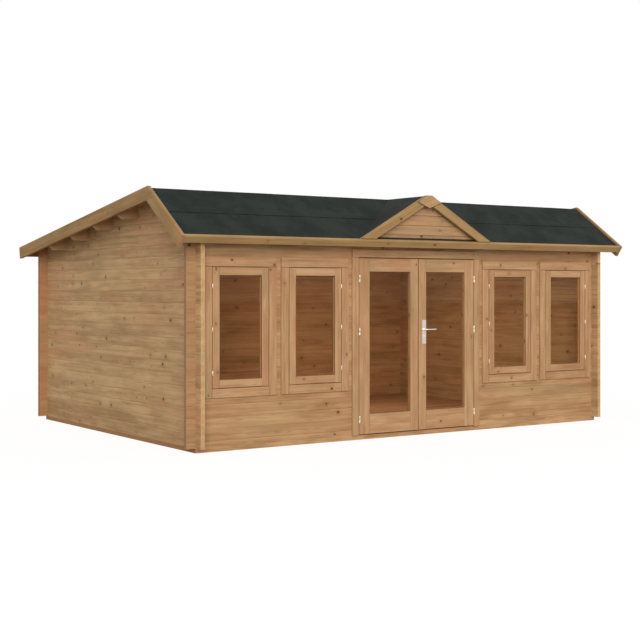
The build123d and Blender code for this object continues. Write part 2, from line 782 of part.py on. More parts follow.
# Door hinges: the lower half with its pin is screwed to the casing, the upper half turns with the leaf
pin_x = door_half_clear - door_gap
knuckle_half = (hinge_length - knuckle_gap) / 2
stem_margin = (knuckle_half - hinge_stem_height) / 2
stem_y = (casing_face + pin_y) / 2
lowest_hinge = leaf_bottom + hinge_from_foot
highest_hinge = leaf_top - hinge_from_head
middle_hinge = lowest_hinge + middle_hinge_share * (highest_hinge - lowest_hinge)
hinge_heights = (lowest_hinge, middle_hinge, highest_hinge)

with BuildPart() as door_hinge_pins:
    for height in hinge_heights:
        bottom = height - hinge_length / 2
        with BuildSketch(Plane.XY.offset(bottom)) as fixed_knuckle:
            with Locations((pin_x, pin_y)):
                Circle(knuckle_radius)
        extrude(amount=knuckle_half)
        with BuildSketch(Plane.XY.offset(bottom + stem_margin)) as fixed_stem:
            with Locations((pin_x + hinge_stem_reach / 2, stem_y)):
                Rectangle(hinge_stem_reach, casing_face - pin_y)
        extrude(amount=hinge_stem_height)
        with BuildSketch(Plane.XY.offset(bottom + knuckle_half)) as hinge_pin:
            with Locations((pin_x, pin_y)):
                Circle(pin_radius)
        extrude(amount=pin_reach)
    mirror(about=Plane.YZ)
door_hinge_pins.part.label = "door_hinge_pins"
export_step(door_hinge_pins.part, "parts/door_hinge_pins.step")

with BuildPart() as leaf_hinges_right:
    for height in hinge_heights:
        bottom = height - hinge_length / 2 + knuckle_half + knuckle_gap
        with BuildSketch(Plane.XY.offset(bottom)) as moving_knuckle:
            with Locations((pin_x, pin_y)):
                Circle(knuckle_radius)
        extrude(amount=knuckle_half)
        with BuildSketch(Plane.XY.offset(bottom + stem_margin)) as moving_stem:
            with Locations((pin_x - hinge_stem_reach / 2, stem_y)):
                Rectangle(hinge_stem_reach, casing_face - pin_y)
        extrude(amount=hinge_stem_height)
        with BuildSketch(Plane.XY.offset(bottom)) as pin_bore:
            with Locations((pin_x, pin_y)):
                Circle(pin_radius + pin_clearance)
        extrude(amount=pin_reach + pin_clearance, mode=Mode.SUBTRACT)
leaf_hinges_right.part.label = "leaf_hinges_right"
export_step(leaf_hinges_right.part, "parts/leaf_hinges_right.step")

with BuildPart() as leaf_hinges_left:
    mirror(leaf_hinges_right.part, about=Plane.YZ)
leaf_hinges_left.part.label = "leaf_hinges_left"
export_step(leaf_hinges_left.part, "parts/leaf_hinges_left.step")

# Door handle: a long plate and a lever on each side of the right leaf, joined by a spindle
plate_centre_z = handle_height + handle_plate_above - handle_plate_length / 2
with BuildPart() as handle_plates:
    with BuildSketch(Plane.XZ.offset(-casing_face)) as handle_plate_shape:
        with Locations((handle_x, plate_centre_z)):
            Rectangle(handle_plate_width, handle_plate_length)
        chamfer(handle_plate_shape.vertices(), handle_plate_corner)
        with Locations((handle_x, handle_height)):
            Circle(spindle_radius + spindle_clearance, mode=Mode.SUBTRACT)
    extrude(amount=handle_plate_thickness)
    with BuildSketch(Plane.XZ.offset(-casing_face + handle_plate_thickness)) as key_cylinder:
        with Locations((handle_x, handle_height - key_drop)):
            Circle(key_radius)
    extrude(amount=key_proud)
    mirror(about=Plane.XZ.offset(-leaf_mid_y))
handle_plates.part.label = "handle_plates"
export_step(handle_plates.part, "parts/handle_plates.step")

lever_start = leaf_mid_y - leaf_thickness / 2 - handle_plate_thickness - seat_gap
grip_y = lever_start - lever_reach
with BuildPart() as door_lever:
    with BuildLine() as lever_line:
        Polyline(
            (handle_x, lever_start, handle_height),
            (handle_x, grip_y, handle_height),
            (handle_x + lever_length, grip_y, handle_height),
        )
    with BuildSketch(Plane.XZ.offset(-lever_start)) as lever_section:
        with Locations((handle_x, handle_height)):
            Circle(lever_radius)
    sweep(transition=Transition.RIGHT)
    with BuildSketch(Plane.XZ.offset(-leaf_mid_y)) as spindle_section:
        with Locations((handle_x, handle_height)):
            Circle(spindle_radius)
    extrude(amount=leaf_mid_y - lever_start)
    mirror(about=Plane.XZ.offset(-leaf_mid_y))
door_lever.part.label = "door_lever"
export_step(door_lever.part, "parts/door_lever.step")
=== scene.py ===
"""Looks of the log cabin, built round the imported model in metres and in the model's own frame.

Walls, bearers, joists, purlins, panes, threshold and the gablet's boards and felt keep their solids and get
finishes. Floor, roof boards, felt, edge boards, frames, sashes, door leaves, hinges and handles are made here
again with planed arrises, joints and fixings, in the places of their solids.
"""

import logging
from dataclasses import dataclass, replace
from enum import Enum
from math import cos, pi, radians, sin, tan
from typing import Callable, Iterable, Optional, Sequence, Union

import bpy
import numpy as np
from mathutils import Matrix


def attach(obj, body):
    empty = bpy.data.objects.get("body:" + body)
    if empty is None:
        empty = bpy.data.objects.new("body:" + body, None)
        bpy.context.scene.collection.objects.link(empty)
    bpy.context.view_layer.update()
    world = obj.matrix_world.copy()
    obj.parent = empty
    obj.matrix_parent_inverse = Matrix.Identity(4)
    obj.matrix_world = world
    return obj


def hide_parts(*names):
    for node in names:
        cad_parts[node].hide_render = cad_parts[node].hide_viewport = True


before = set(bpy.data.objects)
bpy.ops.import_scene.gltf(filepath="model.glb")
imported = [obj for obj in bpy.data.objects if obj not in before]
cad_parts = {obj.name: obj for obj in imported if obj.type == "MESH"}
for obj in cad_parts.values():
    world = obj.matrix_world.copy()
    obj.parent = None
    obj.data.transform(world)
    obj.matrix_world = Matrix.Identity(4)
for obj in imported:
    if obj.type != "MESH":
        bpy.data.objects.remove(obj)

log = logging.getLogger("cabin")
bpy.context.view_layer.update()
Colour = tuple[float, float, float]
Span = tuple[float, float]
Outline = Sequence[Span]
Number = Union[float, "Sock"]
Paint = Union[Colour, "Sock"]


# Sizes shared by the sub-assemblies


@dataclass(frozen=True)
class Shell:
    """Main sizes of the cabin in metres, and points in its side view."""

    half_length: float = 2.66
    half_depth: float = 1.856
    log: float = 0.044
    pitch: float = 0.114
    bearer: float = 0.045
    deck: float = 0.019
    ridge: float = 2.526
    ridge_setback: float = 0.510
    front_pitch: float = radians(35.0)
    rear_pitch: float = radians(8.4)
    felt: float = 0.003
    roof_board: float = 0.019
    eave_overhang: float = 0.212
    gable_overhang: float = 0.254
    edge_board: float = 0.034
    barge_depth: float = 0.133
    barge_rise: float = 0.018
    fascia_rise: float = 0.012
    front_fascia: float = 0.076
    rear_fascia: float = 0.105
    casing: float = 0.018
    lining: float = 0.028

    @property
    def front(self) -> float:
        """Outer face of the front logs."""
        return -self.half_depth

    @property
    def front_inside(self) -> float:
        """Inner face of the front logs."""
        return self.log - self.half_depth

    @property
    def face(self) -> float:
        """Outer face of the casings, sashes and door leaves."""
        return self.front - self.casing

    @property
    def skin(self) -> float:
        """Felt and roof boards together."""
        return self.felt + self.roof_board

    @property
    def roof_half(self) -> float:
        """Half the length of the roof between its bargeboards."""
        return self.half_length + self.gable_overhang - self.edge_board

    @property
    def ridge_y(self) -> float:
        """Place of the ridge, in plan."""
        return self.front + self.ridge_setback

    @property
    def front_eave(self) -> float:
        """Length of the front slope to the outer face of its fascia."""
        rise = self.barge_rise * sin(self.front_pitch)
        return (self.ridge_setback + self.eave_overhang - rise) / cos(self.front_pitch)

    @property
    def rear_eave(self) -> float:
        """Length of the rear slope to the outer face of its fascia."""
        rise = self.barge_rise * sin(self.rear_pitch)
        run = 2 * self.half_depth - self.ridge_setback + self.eave_overhang
        return (run - rise) / cos(self.rear_pitch)

    def on_front(self, along: float, up: float) -> Span:
        """Point (y, z) `along` down the front slope from the ridge and `up` square to its felt."""
        c, s = cos(self.front_pitch), sin(self.front_pitch)
        return self.ridge_y - along * c - up * s, self.ridge - along * s + up * c

    def on_rear(self, along: float, up: float) -> Span:
        """Point (y, z) `along` down the rear slope from the ridge and `up` square to its felt."""
        c, s = cos(self.rear_pitch), sin(self.rear_pitch)
        return self.ridge_y + along * c + up * s, self.ridge - along * s + up * c

    def at_ridge(self, front_up: float, rear_up: float) -> Span:
        """Point (y, z) where a line over the front felt meets a line over the rear felt."""
        spread = sin(self.front_pitch + self.rear_pitch)
        y = (rear_up * cos(self.front_pitch) - front_up * cos(self.rear_pitch)) / spread
        z = (sin(self.front_pitch) * rear_up + sin(self.rear_pitch) * front_up) / spread
        return self.ridge_y + y, self.ridge + z


SHELL = Shell()


# Shader nodes


def _operation(kind: str, swapped: bool = False) -> Callable[..., "Sock"]:
    """Makes a method that adds one Math node.

    Args:
        kind: what the node works out.
        swapped: puts the socket itself last, for a sign with a plain number on its left.

    Returns:
        The method, for a socket and the other values of the sum.
    """

    def method(self: "Sock", *others: Number) -> "Sock":
        """Adds the node on this socket and the other values."""
        values = (*others, self) if swapped else (self, *others)
        return self.net.node("ShaderNodeMath", {"operation": kind}, dict(enumerate(values)))

    return method


class Sock:
    """A node socket that takes part in Python expressions; each sign adds its Math node."""

    def __init__(self, net: "Net", socket: bpy.types.NodeSocket) -> None:
        """Keeps the socket and the net it is in."""
        self.net = net
        self.socket = socket

    __add__ = __radd__ = _operation("ADD")
    __sub__ = _operation("SUBTRACT")
    __rsub__ = _operation("SUBTRACT", True)
    __mul__ = __rmul__ = _operation("MULTIPLY")
    __truediv__ = _operation("DIVIDE")
    __pow__ = _operation("POWER")
    __gt__ = _operation("GREATER_THAN")
    most = _operation("MAXIMUM")
    floor = _operation("FLOOR")
    abs = _operation("ABSOLUTE")
    sine = _operation("SINE")
    root = _operation("SQRT")

    def ramp(self, low: Number, high: Number, to_low: float = 0.0, to_high: float = 1.0) -> "Sock":
        """Smooth step of this value between two edges.

        Args:
            low: value at which the result is `to_low`.
            high: value at which the result is `to_high`; it may lie below `low`.
            to_low: result at the first edge.
            to_high: result at the second edge.

        Returns:
            The stepped value, held inside its two ends.
        """
        settings = {"interpolation_type": "SMOOTHSTEP"}
        values = {"Value": self, "From Min": low, "From Max": high, "To Min": to_low, "To Max": to_high}
        return self.net.node("ShaderNodeMapRange", settings, values, "Result")


class Net:
    """The node tree of one material, or of the world."""

    def __init__(self, name: str, world: bool = False) -> None:
        """Makes an empty material of that name, or a world."""
        self.owner = (bpy.data.worlds if world else bpy.data.materials).new(name)
        self.output = "ShaderNodeOutputWorld" if world else "ShaderNodeOutputMaterial"
        self.owner.use_nodes = True
        self.tree = self.owner.node_tree
        self.tree.nodes.clear()

    def node(
        self,
        kind: str,
        settings: Optional[dict] = None,
        values: Optional[dict] = None,
        output: Union[int, str] = 0,
    ) -> Sock:
        """Adds one node.

        Args:
            kind: the node's type.
            settings: its own settings, set first.
            values: numbers, colours or sockets for its inputs, by name or place.
            output: the output that is wanted, by name or place.

        Returns:
            That output.
        """
        made = self.tree.nodes.new(kind)
        for key, value in (settings or {}).items():
            setattr(made, key, value)
        for key, value in (values or {}).items():
            self.join(made.inputs[key], value)
        return Sock(self, made.outputs[output])

    def join(self, target: bpy.types.NodeSocket, value: Union[Number, Colour]) -> None:
        """Links a socket to an input, or sets the input's value."""
        if isinstance(value, Sock):
            self.tree.links.new(value.socket, target)
        elif isinstance(value, tuple) and target.type == "RGBA":
            target.default_value = (*value, 1.0)
        else:
            target.default_value = value

    def vector(self, x: Number, y: Number, z: Number) -> Sock:
        """Three numbers as one vector."""
        return self.node("ShaderNodeCombineXYZ", None, {0: x, 1: y, 2: z})

    def split(self, vector: Sock) -> tuple[Sock, Sock, Sock]:
        """The three numbers of a vector."""
        outputs = self.node("ShaderNodeSeparateXYZ", None, {0: vector}).socket.node.outputs
        return Sock(self, outputs[0]), Sock(self, outputs[1]), Sock(self, outputs[2])

    def place(self) -> Sock:
        """Object coordinates, which are the model's own metres."""
        return self.node("ShaderNodeTexCoord", None, None, "Object")

    def facing(self) -> tuple[Sock, Sock, Sock]:
        """Direction of the face itself, before any smoothing or bump."""
        return self.split(self.node("ShaderNodeNewGeometry", None, None, "True Normal"))

    def attribute(self, name: str) -> Sock:
        """A vector stored on the piece's points."""
        return self.node("ShaderNodeAttribute", {"attribute_name": name}, None, "Vector")

    def noise(self, vector: Sock, scale: float = 1.0, detail: float = 3.0, rough: float = 0.55) -> Sock:
        """Smooth noise between nought and one."""
        values = {"Vector": vector, "Scale": scale, "Detail": detail, "Roughness": rough}
        return self.node("ShaderNodeTexNoise", None, values, "Fac")

    def dice(self, vector: Sock) -> tuple[Sock, Sock, Sock]:
        """Three random numbers that depend on a vector alone."""
        settings = {"noise_dimensions": "3D"}
        return self.split(self.node("ShaderNodeTexWhiteNoise", settings, {"Vector": vector}, "Color"))

    def blend(self, share: Number, first: Paint, second: Paint, way: str = "MIX") -> Sock:
        """Two colours mixed by a share; a Mix node has its colours at places 6 and 7, and their mix at 2."""
        settings = {"data_type": "RGBA", "blend_type": way}
        return self.node("ShaderNodeMix", settings, {0: share, 6: first, 7: second}, 2)

    def bump(self, strength: float, distance: float, height: Sock) -> Sock:
        """Normal that fine relief gives."""
        values = {"Strength": strength, "Distance": distance, "Height": height}
        return self.node("ShaderNodeBump", None, values)

    def principled(self, values: dict) -> bpy.types.Material:
        """Finishes the net with a Principled shader."""
        return self.finish(self.node("ShaderNodeBsdfPrincipled", None, values))

    def finish(self, shader: Sock) -> Union[bpy.types.Material, bpy.types.World]:
        """Puts a shader on the output and hands the material or the world over."""
        self.tree.links.new(shader.socket, self.tree.nodes.new(self.output).inputs["Surface"])
        return self.owner


# Finishes


LOG_DRAW = 3.5
KNOT_DRAW = 0.5
END_FACING = (0.75, 0.95)
ARRIS_FACING = (0.30, 0.80)
SMOOTH = 35.0
SMOOTH_LEVER = 60.0


@dataclass
class Grain:
    """How timber runs at a point.

    It holds the metres along and across its face and its depth, its board's own numbers, the place for slow
    patches, and whether the point is on end grain, or on a log's end that stands out past the corner.
    """

    along: Sock
    across: Sock
    depth: Sock
    tone: Sock
    width: Number
    seed: Sock
    zone: Sock
    end: Number = 0.0
    stub: Number = 0.0


class Run(Enum):
    """Axis along which grain runs or a turned shape lies."""

    ALONG_X = "x"
    ALONG_Y = "y"
    ALONG_Z = "z"


@dataclass(frozen=True)
class WoodFinish:
    """Pressure-treated spruce: its colours, how boards differ, its knots, painted light in the joints, and
    painted shade on the arrises and on log ends past the corners.

    A scale says how often noise repeats in a metre along the grain and across it. A share weighs one cause of
    a darker tone against the others.
    """

    name: str
    pale: Colour
    deep: Colour
    blush: Colour = (0.520, 0.235, 0.120)
    moss: Colour = (0.370, 0.265, 0.120)
    knot: Colour = (0.115, 0.050, 0.020)
    pith: Colour = (0.035, 0.015, 0.007)
    # Colour of the painted shade on the arrises.
    shadow: Colour = (0.085, 0.042, 0.018)
    # Pale colour blended into the log joints: painted light that offsets the shade in their grooves.
    cut: Colour = (0.640, 0.430, 0.240)
    end_tint: Colour = (1.0, 1.0, 1.0)
    # Multiplier for log ends past the corners: painted shade.
    stub_painted_shade: Colour = (1.0, 1.0, 1.0)
    end_calm: float = 0.5
    end_level: float = 0.40
    contrast: float = 1.10
    level: float = 0.36
    shade_range: Span = (-0.15, 1.05)
    cloud: float = 0.90
    cloud_scale: float = 3.4
    tone_spread: float = 0.18
    tint: float = 0.40
    blush_range: Span = (0.50, 0.72)
    moss_range: Span = (0.48, 0.28)
    bend_scale: Span = (0.9, 5.0)
    streak_scale: Span = (1.1, 26.0)
    fibre_scale: Span = (14.0, 560.0)
    streak_share: float = 1.35
    ring_share: float = 0.20
    fibre_share: float = 0.20
    halo_share: float = 0.20
    ring_width: float = 0.0062
    ring_bend: float = 0.060
    knot_bend: float = 0.006
    pith_spread: float = 0.09
    pith_depth: float = 0.07
    knot_share: float = 0.24
    knot_step: float = 0.46
    knot_radius: float = 0.012
    knot_least: float = 0.0045
    knot_spread: float = 0.6
    knot_shift: float = 3.7
    knot_squeeze: float = 0.8
    knot_ragged: float = 110.0
    knot_wobble: float = 0.004
    knot_dark: tuple[float, ...] = (0.0, 0.7, 0.45, 1.0)
    core_edge: Span = (1.08, 0.78)
    heart_edge: Span = (0.75, 0.10)
    halo_edge: Span = (3.6, 0.9)
    knot_strength: float = 0.80
    pith_strength: float = 0.75
    # Strength of the painted light in the log joints.
    joint_painted_light: float = 0.0
    joint_width: float = 0.0055
    arris_shade: float = 0.0
    relief: float = 0.0010
    relief_strength: float = 0.40
    relief_shares: tuple[float, ...] = (0.35, 0.5, 0.3, -1.2, 0.5)
    zone_scale: tuple[float, ...] = (0.9, 11.0, 4.0, 3.0)
    log_zone_scale: tuple[float, ...] = (0.8, 0.5, 1.6, 1.6)
    log_tone: Span = (0.7, 0.15)
    log_seed: float = 10.0
    specular: float = 0.30
    roughness: Span = (0.60, 0.76)
    knot_polish: float = 0.12

    def material(self, net: Net, grain: Grain) -> bpy.types.Material:
        """Builds the wood on a net.

        Growth rings are contour lines of the distance to the tree's pith, bent by slow noise and the knots.
        Streaks are noise stretched along the grain. Each board has a tone of its own, and soft reddish and
        greenish zones lie over them. Log ends are calmer. End grain has a tint of its own, log ends past the
        corners get painted shade, the joints painted light that offsets the shade in their grooves, and the
        arrises painted shade.

        Args:
            net: the material's net.
            grain: where the surface point lies in its board.

        Returns:
            The finished material.
        """
        core, heart, halo = self._knots(net, grain)
        bend = self._drawn(net, grain, self.bend_scale, 9.0, 2.0)
        streak = self._drawn(net, grain, self.streak_scale, 5.0, 4.0)
        fibre = self._drawn(net, grain, self.fibre_scale, 1.0, 2.0)
        beside = grain.across + (grain.tone - 0.5) * self.pith_spread
        behind = grain.depth + self.pith_depth
        away = (beside * beside + behind * behind).root() + (bend - 0.5) * self.ring_bend
        away = away + halo * self.knot_bend
        rings = (away * (2 * pi / self.ring_width)).sine() * 0.5 + 0.5
        lead = (streak - 0.5) * self.streak_share + rings * rings * self.ring_share
        lead = lead + (fibre - 0.5) * self.fibre_share
        cloud = net.noise(grain.zone, self.cloud_scale, 2.0)
        level = (grain.tone - 0.5) * self.tone_spread * 2.0 + (cloud - 0.5) * self.cloud + self.level
        shade = lead * self.contrast + level + halo * self.halo_share
        pairs = ((grain.end, self.end_tint), (grain.stub, self.stub_painted_shade))
        ends = [pair for pair in pairs if isinstance(pair[0], Sock)]
        for share, _ in ends:
            shade = shade + (self.end_level - shade) * (share * self.end_calm)
        patch = net.noise(grain.zone, 1.0, 2.0)
        colour = net.blend(shade.ramp(*self.shade_range), self.pale, self.deep)
        colour = net.blend(patch.ramp(*self.blush_range) * self.tint, colour, self.blush)
        colour = net.blend(patch.ramp(*self.moss_range) * self.tint, colour, self.moss)
        colour = net.blend(core * self.knot_strength, colour, self.knot)
        colour = net.blend(heart * self.pith_strength, colour, self.pith)
        # Painted light in the joints, offsetting the shade in their grooves.
        if self.joint_painted_light:
            edge = 0.5 * SHELL.pitch
            joint = grain.across.abs().ramp(edge - self.joint_width, edge - 0.001)
            colour = net.blend(joint * self.joint_painted_light, colour, self.cut)
        # End grain takes its own tint; log ends past the corners take painted shade.
        for share, tint in ends:
            colour = net.blend(share, colour, net.blend(1.0, colour, tint, "MULTIPLY"))
        # Painted shade on the arrises, darkening the gaps between boards.
        if self.arris_shade:
            colour = net.blend(self._arrises(net) * self.arris_shade, colour, self.shadow)
        causes = (fibre, streak, rings, heart, core)
        height = sum(cause * share for cause, share in zip(causes, self.relief_shares))
        return net.principled({
            "Base Color": colour,
            "Roughness": fibre.ramp(0.2, 0.8, *self.roughness) - core * self.knot_polish,
            "Specular IOR Level": self.specular,
            "Normal": net.bump(self.relief_strength, self.relief, height),
        })

    @staticmethod
    def _drawn(net: Net, grain: Grain, scale: Span, shift: float, detail: float) -> Sock:
        """Noise drawn out along the grain, moved by each board's seed times `shift`."""
        long, fine = scale
        place = net.vector(grain.along * long, grain.across * fine + grain.seed * shift, grain.depth * fine)
        return net.noise(place, 1.0, detail)

    @staticmethod
    def _arrises(net: Net) -> Sock:
        """One on sloping faces, as arrises are: x^8 + y^8 + z^8 of a unit normal is 1 square to an axis."""
        x, y, z = net.facing()
        return 1.0 - (x ** 8.0 + y ** 8.0 + z ** 8.0).ramp(*ARRIS_FACING)

    def _knots(self, net: Net, grain: Grain) -> tuple[Sock, Sock, Sock]:
        """Strews knots: one place in each stretch of a board, of which a share is taken.

        Args:
            net: the material's net.
            grain: where the surface point lies in its board.

        Returns:
            One inside a knot, one in its dark heart, and a soft halo round it, each nought elsewhere.
        """
        cells = grain.along / self.knot_step + grain.seed * self.knot_shift
        cell = cells.floor()
        first, second, third = net.dice(net.vector(cell, grain.seed, KNOT_DRAW))
        rough = net.vector(grain.along * self.knot_ragged, grain.across * self.knot_ragged, grain.seed)
        ragged = net.noise(rough, 1.0, 2.0)
        margin = (1.0 - self.knot_spread) / 2
        beside = (cells - cell - margin - first * self.knot_spread) * (self.knot_step * self.knot_squeeze)
        over = grain.across - (second - 0.5) * self.knot_spread * grain.width
        away = (beside * beside + over * over).root() + (ragged - 0.5) * self.knot_wobble
        spare = third - (1.0 - self.knot_share)
        there = spare > 0.0
        radius = spare * (self.knot_radius / self.knot_share) + self.knot_least
        dark = first.ramp(*self.knot_dark) * there
        edges = (self.core_edge, self.heart_edge, self.halo_edge)
        core, heart, halo = (away.ramp(radius * outer, radius * inner) for outer, inner in edges)
        return core * dark, heart * dark, halo * there

    def on_boards(self) -> bpy.types.Material:
        """The wood for pieces that carry their own grain."""
        net = Net(self.name)
        along, across, depth = net.split(net.attribute("grain"))
        tone, width, seed = net.split(net.attribute("board"))
        a, b, c, d = self.zone_scale
        zone = net.vector(along * a + seed * b, seed * c, across * d)
        return self.material(net, Grain(along, across, depth, tone, width, seed, zone))

    def on_solid(
        self, run: Run, key: float, width: float, first: float = 0.0, middle: float = 0.0
    ) -> bpy.types.Material:
        """The wood for a CAD solid, worked out from Object coordinates.

        Args:
            run: direction of the grain.
            key: number that sets this solid apart from its likes.
            width: spacing of the logs or boards across the grain.
            first: lower edge of a log, from which the others are counted.
            middle: middle of the solid's thickness.

        Returns:
            The finished material.
        """
        net = Net(f"{self.name}_{run.value}_{key:g}")
        x, y, z = net.split(net.place())
        along, up, depth = {Run.ALONG_X: (x, z, y), Run.ALONG_Y: (y, z, x), Run.ALONG_Z: (z, x, y)}[run]
        level = (up - first) / width
        row = level.floor()
        across = (level - row - 0.5) * width
        tone, seed, _ = net.dice(net.vector(row, key, LOG_DRAW))
        a, b, c, d = self.log_zone_scale
        zone = net.vector(along * a + seed * b + key, up * c, depth * d)
        end = net.facing()["xyz".index(run.value)].abs().ramp(*END_FACING)
        half = SHELL.half_length
        stub = along.abs().ramp(half - 0.001, half) if run is Run.ALONG_X else 0.0
        tone = tone * self.log_tone[0] + self.log_tone[1]
        seed = seed * self.log_seed
        return self.material(net, Grain(along, across, depth - middle, tone, width, seed, zone, end, stub))


@dataclass(frozen=True)
class FeltFinish:
    """Mineral roofing felt: fine dark chips, faint trodden patches, and a dark line below each lap, painted
    shade under the lap's edge together with the adhesive that oozes there.
    """

    name: str
    dark: Colour
    light: Colour
    seams: tuple[float, ...]
    bead: float = 0.007
    wander: float = 0.006
    # Colour of the lap line: painted shade under each lap's edge, together with its adhesive.
    lap_shade_and_bitumen: Colour = (0.003, 0.003, 0.003)
    chip_scale: float = 620.0
    chip_range: Span = (0.34, 0.7)
    patch_scale: float = 3.2
    patch_range: Span = (0.36, 0.64)
    wander_scale: float = 60.0
    roughness: tuple[float, ...] = (0.3, 0.7, 0.82, 0.97)

    def material(self) -> bpy.types.Material:
        """Builds the felt from chip-sized and hand-sized noise.

        A dark line a bead's width past each seam, on the course below, is painted shade under the lap's edge
        together with the adhesive that oozes there. The distance down the slope is kept on the points as the
        grain, and distances in front of the ridge count as less than nought.
        """
        net = Net(self.name)
        place = net.place()
        chips = net.noise(place, self.chip_scale, 2.0, 0.7)
        patches = net.noise(place, self.patch_scale, 4.0, 0.65)
        shade = chips.ramp(*self.chip_range) * 0.50 + patches.ramp(*self.patch_range) * 0.50
        colour = net.blend(shade, self.dark, self.light)
        _, down, _ = net.split(net.attribute("grain"))
        ragged = (net.noise(place, self.wander_scale, 2.0) - 0.5) * self.wander
        # Painted shade: a dark line just below each lap's edge, for the shade under the lap together with its
        # adhesive.
        for seam in self.seams:
            past = (down - seam) * (1.0 if seam > 0 else -1.0) + ragged
            line = (past > -0.002) * past.ramp(self.bead, self.bead * 0.5)
            colour = net.blend(line, colour, self.lap_shade_and_bitumen)
        return net.principled({
            "Base Color": colour,
            "Roughness": chips.ramp(*self.roughness),
            "Specular IOR Level": 0.2,
            "Normal": net.bump(0.55, 0.001, chips),
        })


@dataclass(frozen=True)
class MetalFinish:
    """Plated steel or aluminium with fine brushing."""

    name: str
    colour: Colour
    roughness: float
    brush_scale: Span = (1500.0, 60.0)
    spot_scale: float = 45.0
    spot_share: float = 0.35
    dullness: float = 0.72

    def material(self) -> bpy.types.Material:
        """Builds the metal: brushing is noise drawn out along Z, and a few dull spots."""
        net = Net(self.name)
        x, y, z = net.split(net.place())
        fine, long = self.brush_scale
        brushed = net.noise(net.vector(x * fine, y * fine, z * long), 1.0, 2.0)
        dull = net.noise(net.place(), self.spot_scale, 3.0)
        duller = tuple(self.dullness * c for c in self.colour)
        gloss = brushed.ramp(0.2, 0.8, self.roughness - 0.06, self.roughness + 0.08)
        return net.principled({
            "Base Color": net.blend(dull.ramp(0.35, 0.75) * self.spot_share, self.colour, duller),
            "Metallic": 1.0,
            "Roughness": gloss + dull * 0.06,
            "Normal": net.bump(0.2, 0.0002, brushed),
        })


@dataclass(frozen=True)
class GlassFinish:
    """Clear pane with a faint warm tint: light passes straight on, and its face mirrors more at a slant, in a
    warm colour that is a painted reflection.
    """

    name: str
    tint: Colour
    # Warm colour of the mirror layer: painted reflection, tinting the white sky and floor that it mirrors.
    mirror: Colour
    ior: float

    def material(self) -> bpy.types.Material:
        """Builds the glass as a see-through layer and a mirror layer, mixed by Fresnel's law."""
        net = Net(self.name)
        smudge = net.noise(net.place(), 5.0, 3.0)
        clear = net.node("ShaderNodeBsdfTransparent", None, {"Color": self.tint})
        gloss = net.node("ShaderNodeBsdfGlossy", None, {"Color": self.mirror, "Roughness": 0.02})
        share = net.node("ShaderNodeFresnel", None, {"IOR": self.ior}) * smudge.ramp(0.2, 0.8, 0.85, 1.1)
        return net.finish(net.node("ShaderNodeMixShader", None, {0: share, 1: clear, 2: gloss}))


class Finishes:
    """Every finish of the cabin, built once."""

    def __init__(self) -> None:
        """Builds the materials that the made pieces share, and keeps the finishes for the solids."""
        front = ((0.600, 0.360, 0.175), (0.335, 0.168, 0.066))
        # The side logs' colours are a lighter copy of the front logs': painted light on the gable walls.
        side = ((0.615, 0.397, 0.196), (0.334, 0.190, 0.082))
        rough = ((0.500, 0.300, 0.150), (0.320, 0.170, 0.075))
        # The first number on each of the next two lines weighs the painted light in the log joints.
        laid = {"joint_painted_light": 0.20, "end_tint": (0.82, 0.73, 0.66)}
        gable = {"joint_painted_light": 0.35, "end_tint": (1.16, 1.14, 1.10), "knot_share": 0.28, "knot_step": 0.40}
        # The last colour on each of the next two lines darkens log ends past the corners: painted shade,
        # deeper on the rear wall's ends.
        self.front_logs = WoodFinish("front_logs", *front, **laid, stub_painted_shade=(0.89, 0.88, 0.90))
        self.rear_logs = WoodFinish("rear_logs", *front, **laid, stub_painted_shade=(0.79, 0.71, 0.66))
        self.side_logs = WoodFinish("side_logs", *side, **gable)
        self.rafter_wood = WoodFinish("rafter_wood", *rough)
        planed = {"tone_spread": 0.16, "knot_share": 0.20, "arris_shade": 0.85}
        trim = WoodFinish("trim_wood", (0.590, 0.355, 0.178), (0.370, 0.190, 0.080), **planed)
        board = WoodFinish("board_wood", *rough, tone_spread=0.3)
        edge = WoodFinish("edge_wood", (0.460, 0.280, 0.115), (0.280, 0.155, 0.055), tone_spread=0.15)
        barge = WoodFinish("barge_wood", (0.405, 0.243, 0.094), (0.246, 0.134, 0.045), tone_spread=0.15)
        woods = (trim, board, edge, barge)
        self.trim, self.boards, self.edges, self.barges = (wood.on_boards() for wood in woods)
        seams = (-Roof.front_seam, *Roof.rear_seams)
        chips = ((0.008, 0.011, 0.009), (0.030, 0.036, 0.030))
        self.felt = FeltFinish("mineral_felt", *chips, seams).material()
        self.steel = MetalFinish("plated_steel", (0.98, 0.90, 0.79), 0.34).material()
        self.hinge = MetalFinish("hinge_steel", (0.88, 0.76, 0.60), 0.40).material()
        # Dark brown metal for the threshold strip: painted shade at the foot of the doors.
        self.strip_metal_shaded = MetalFinish("threshold_metal_painted_shade", (0.20, 0.13, 0.08), 0.45).material()
        # The second colour tints the panes' mirror layer warm: a painted reflection.
        self.glass = GlassFinish("pane_glass", (0.97, 0.93, 0.87), (1.0, 0.72, 0.48), 1.22).material()


# Made shapes


TREE_LENGTH = 30.0
TONE_SPREAD = 0.2
SEEDS = 10.0
ROUND_STEPS = 3


class Plane(Enum):
    """Plane of an outline: the axis of its first number, of its second, and the axis it is pushed along."""

    SIDE = (1, 2, 0)
    FRONT = (0, 2, 1)
    PLAN = (0, 1, 2)


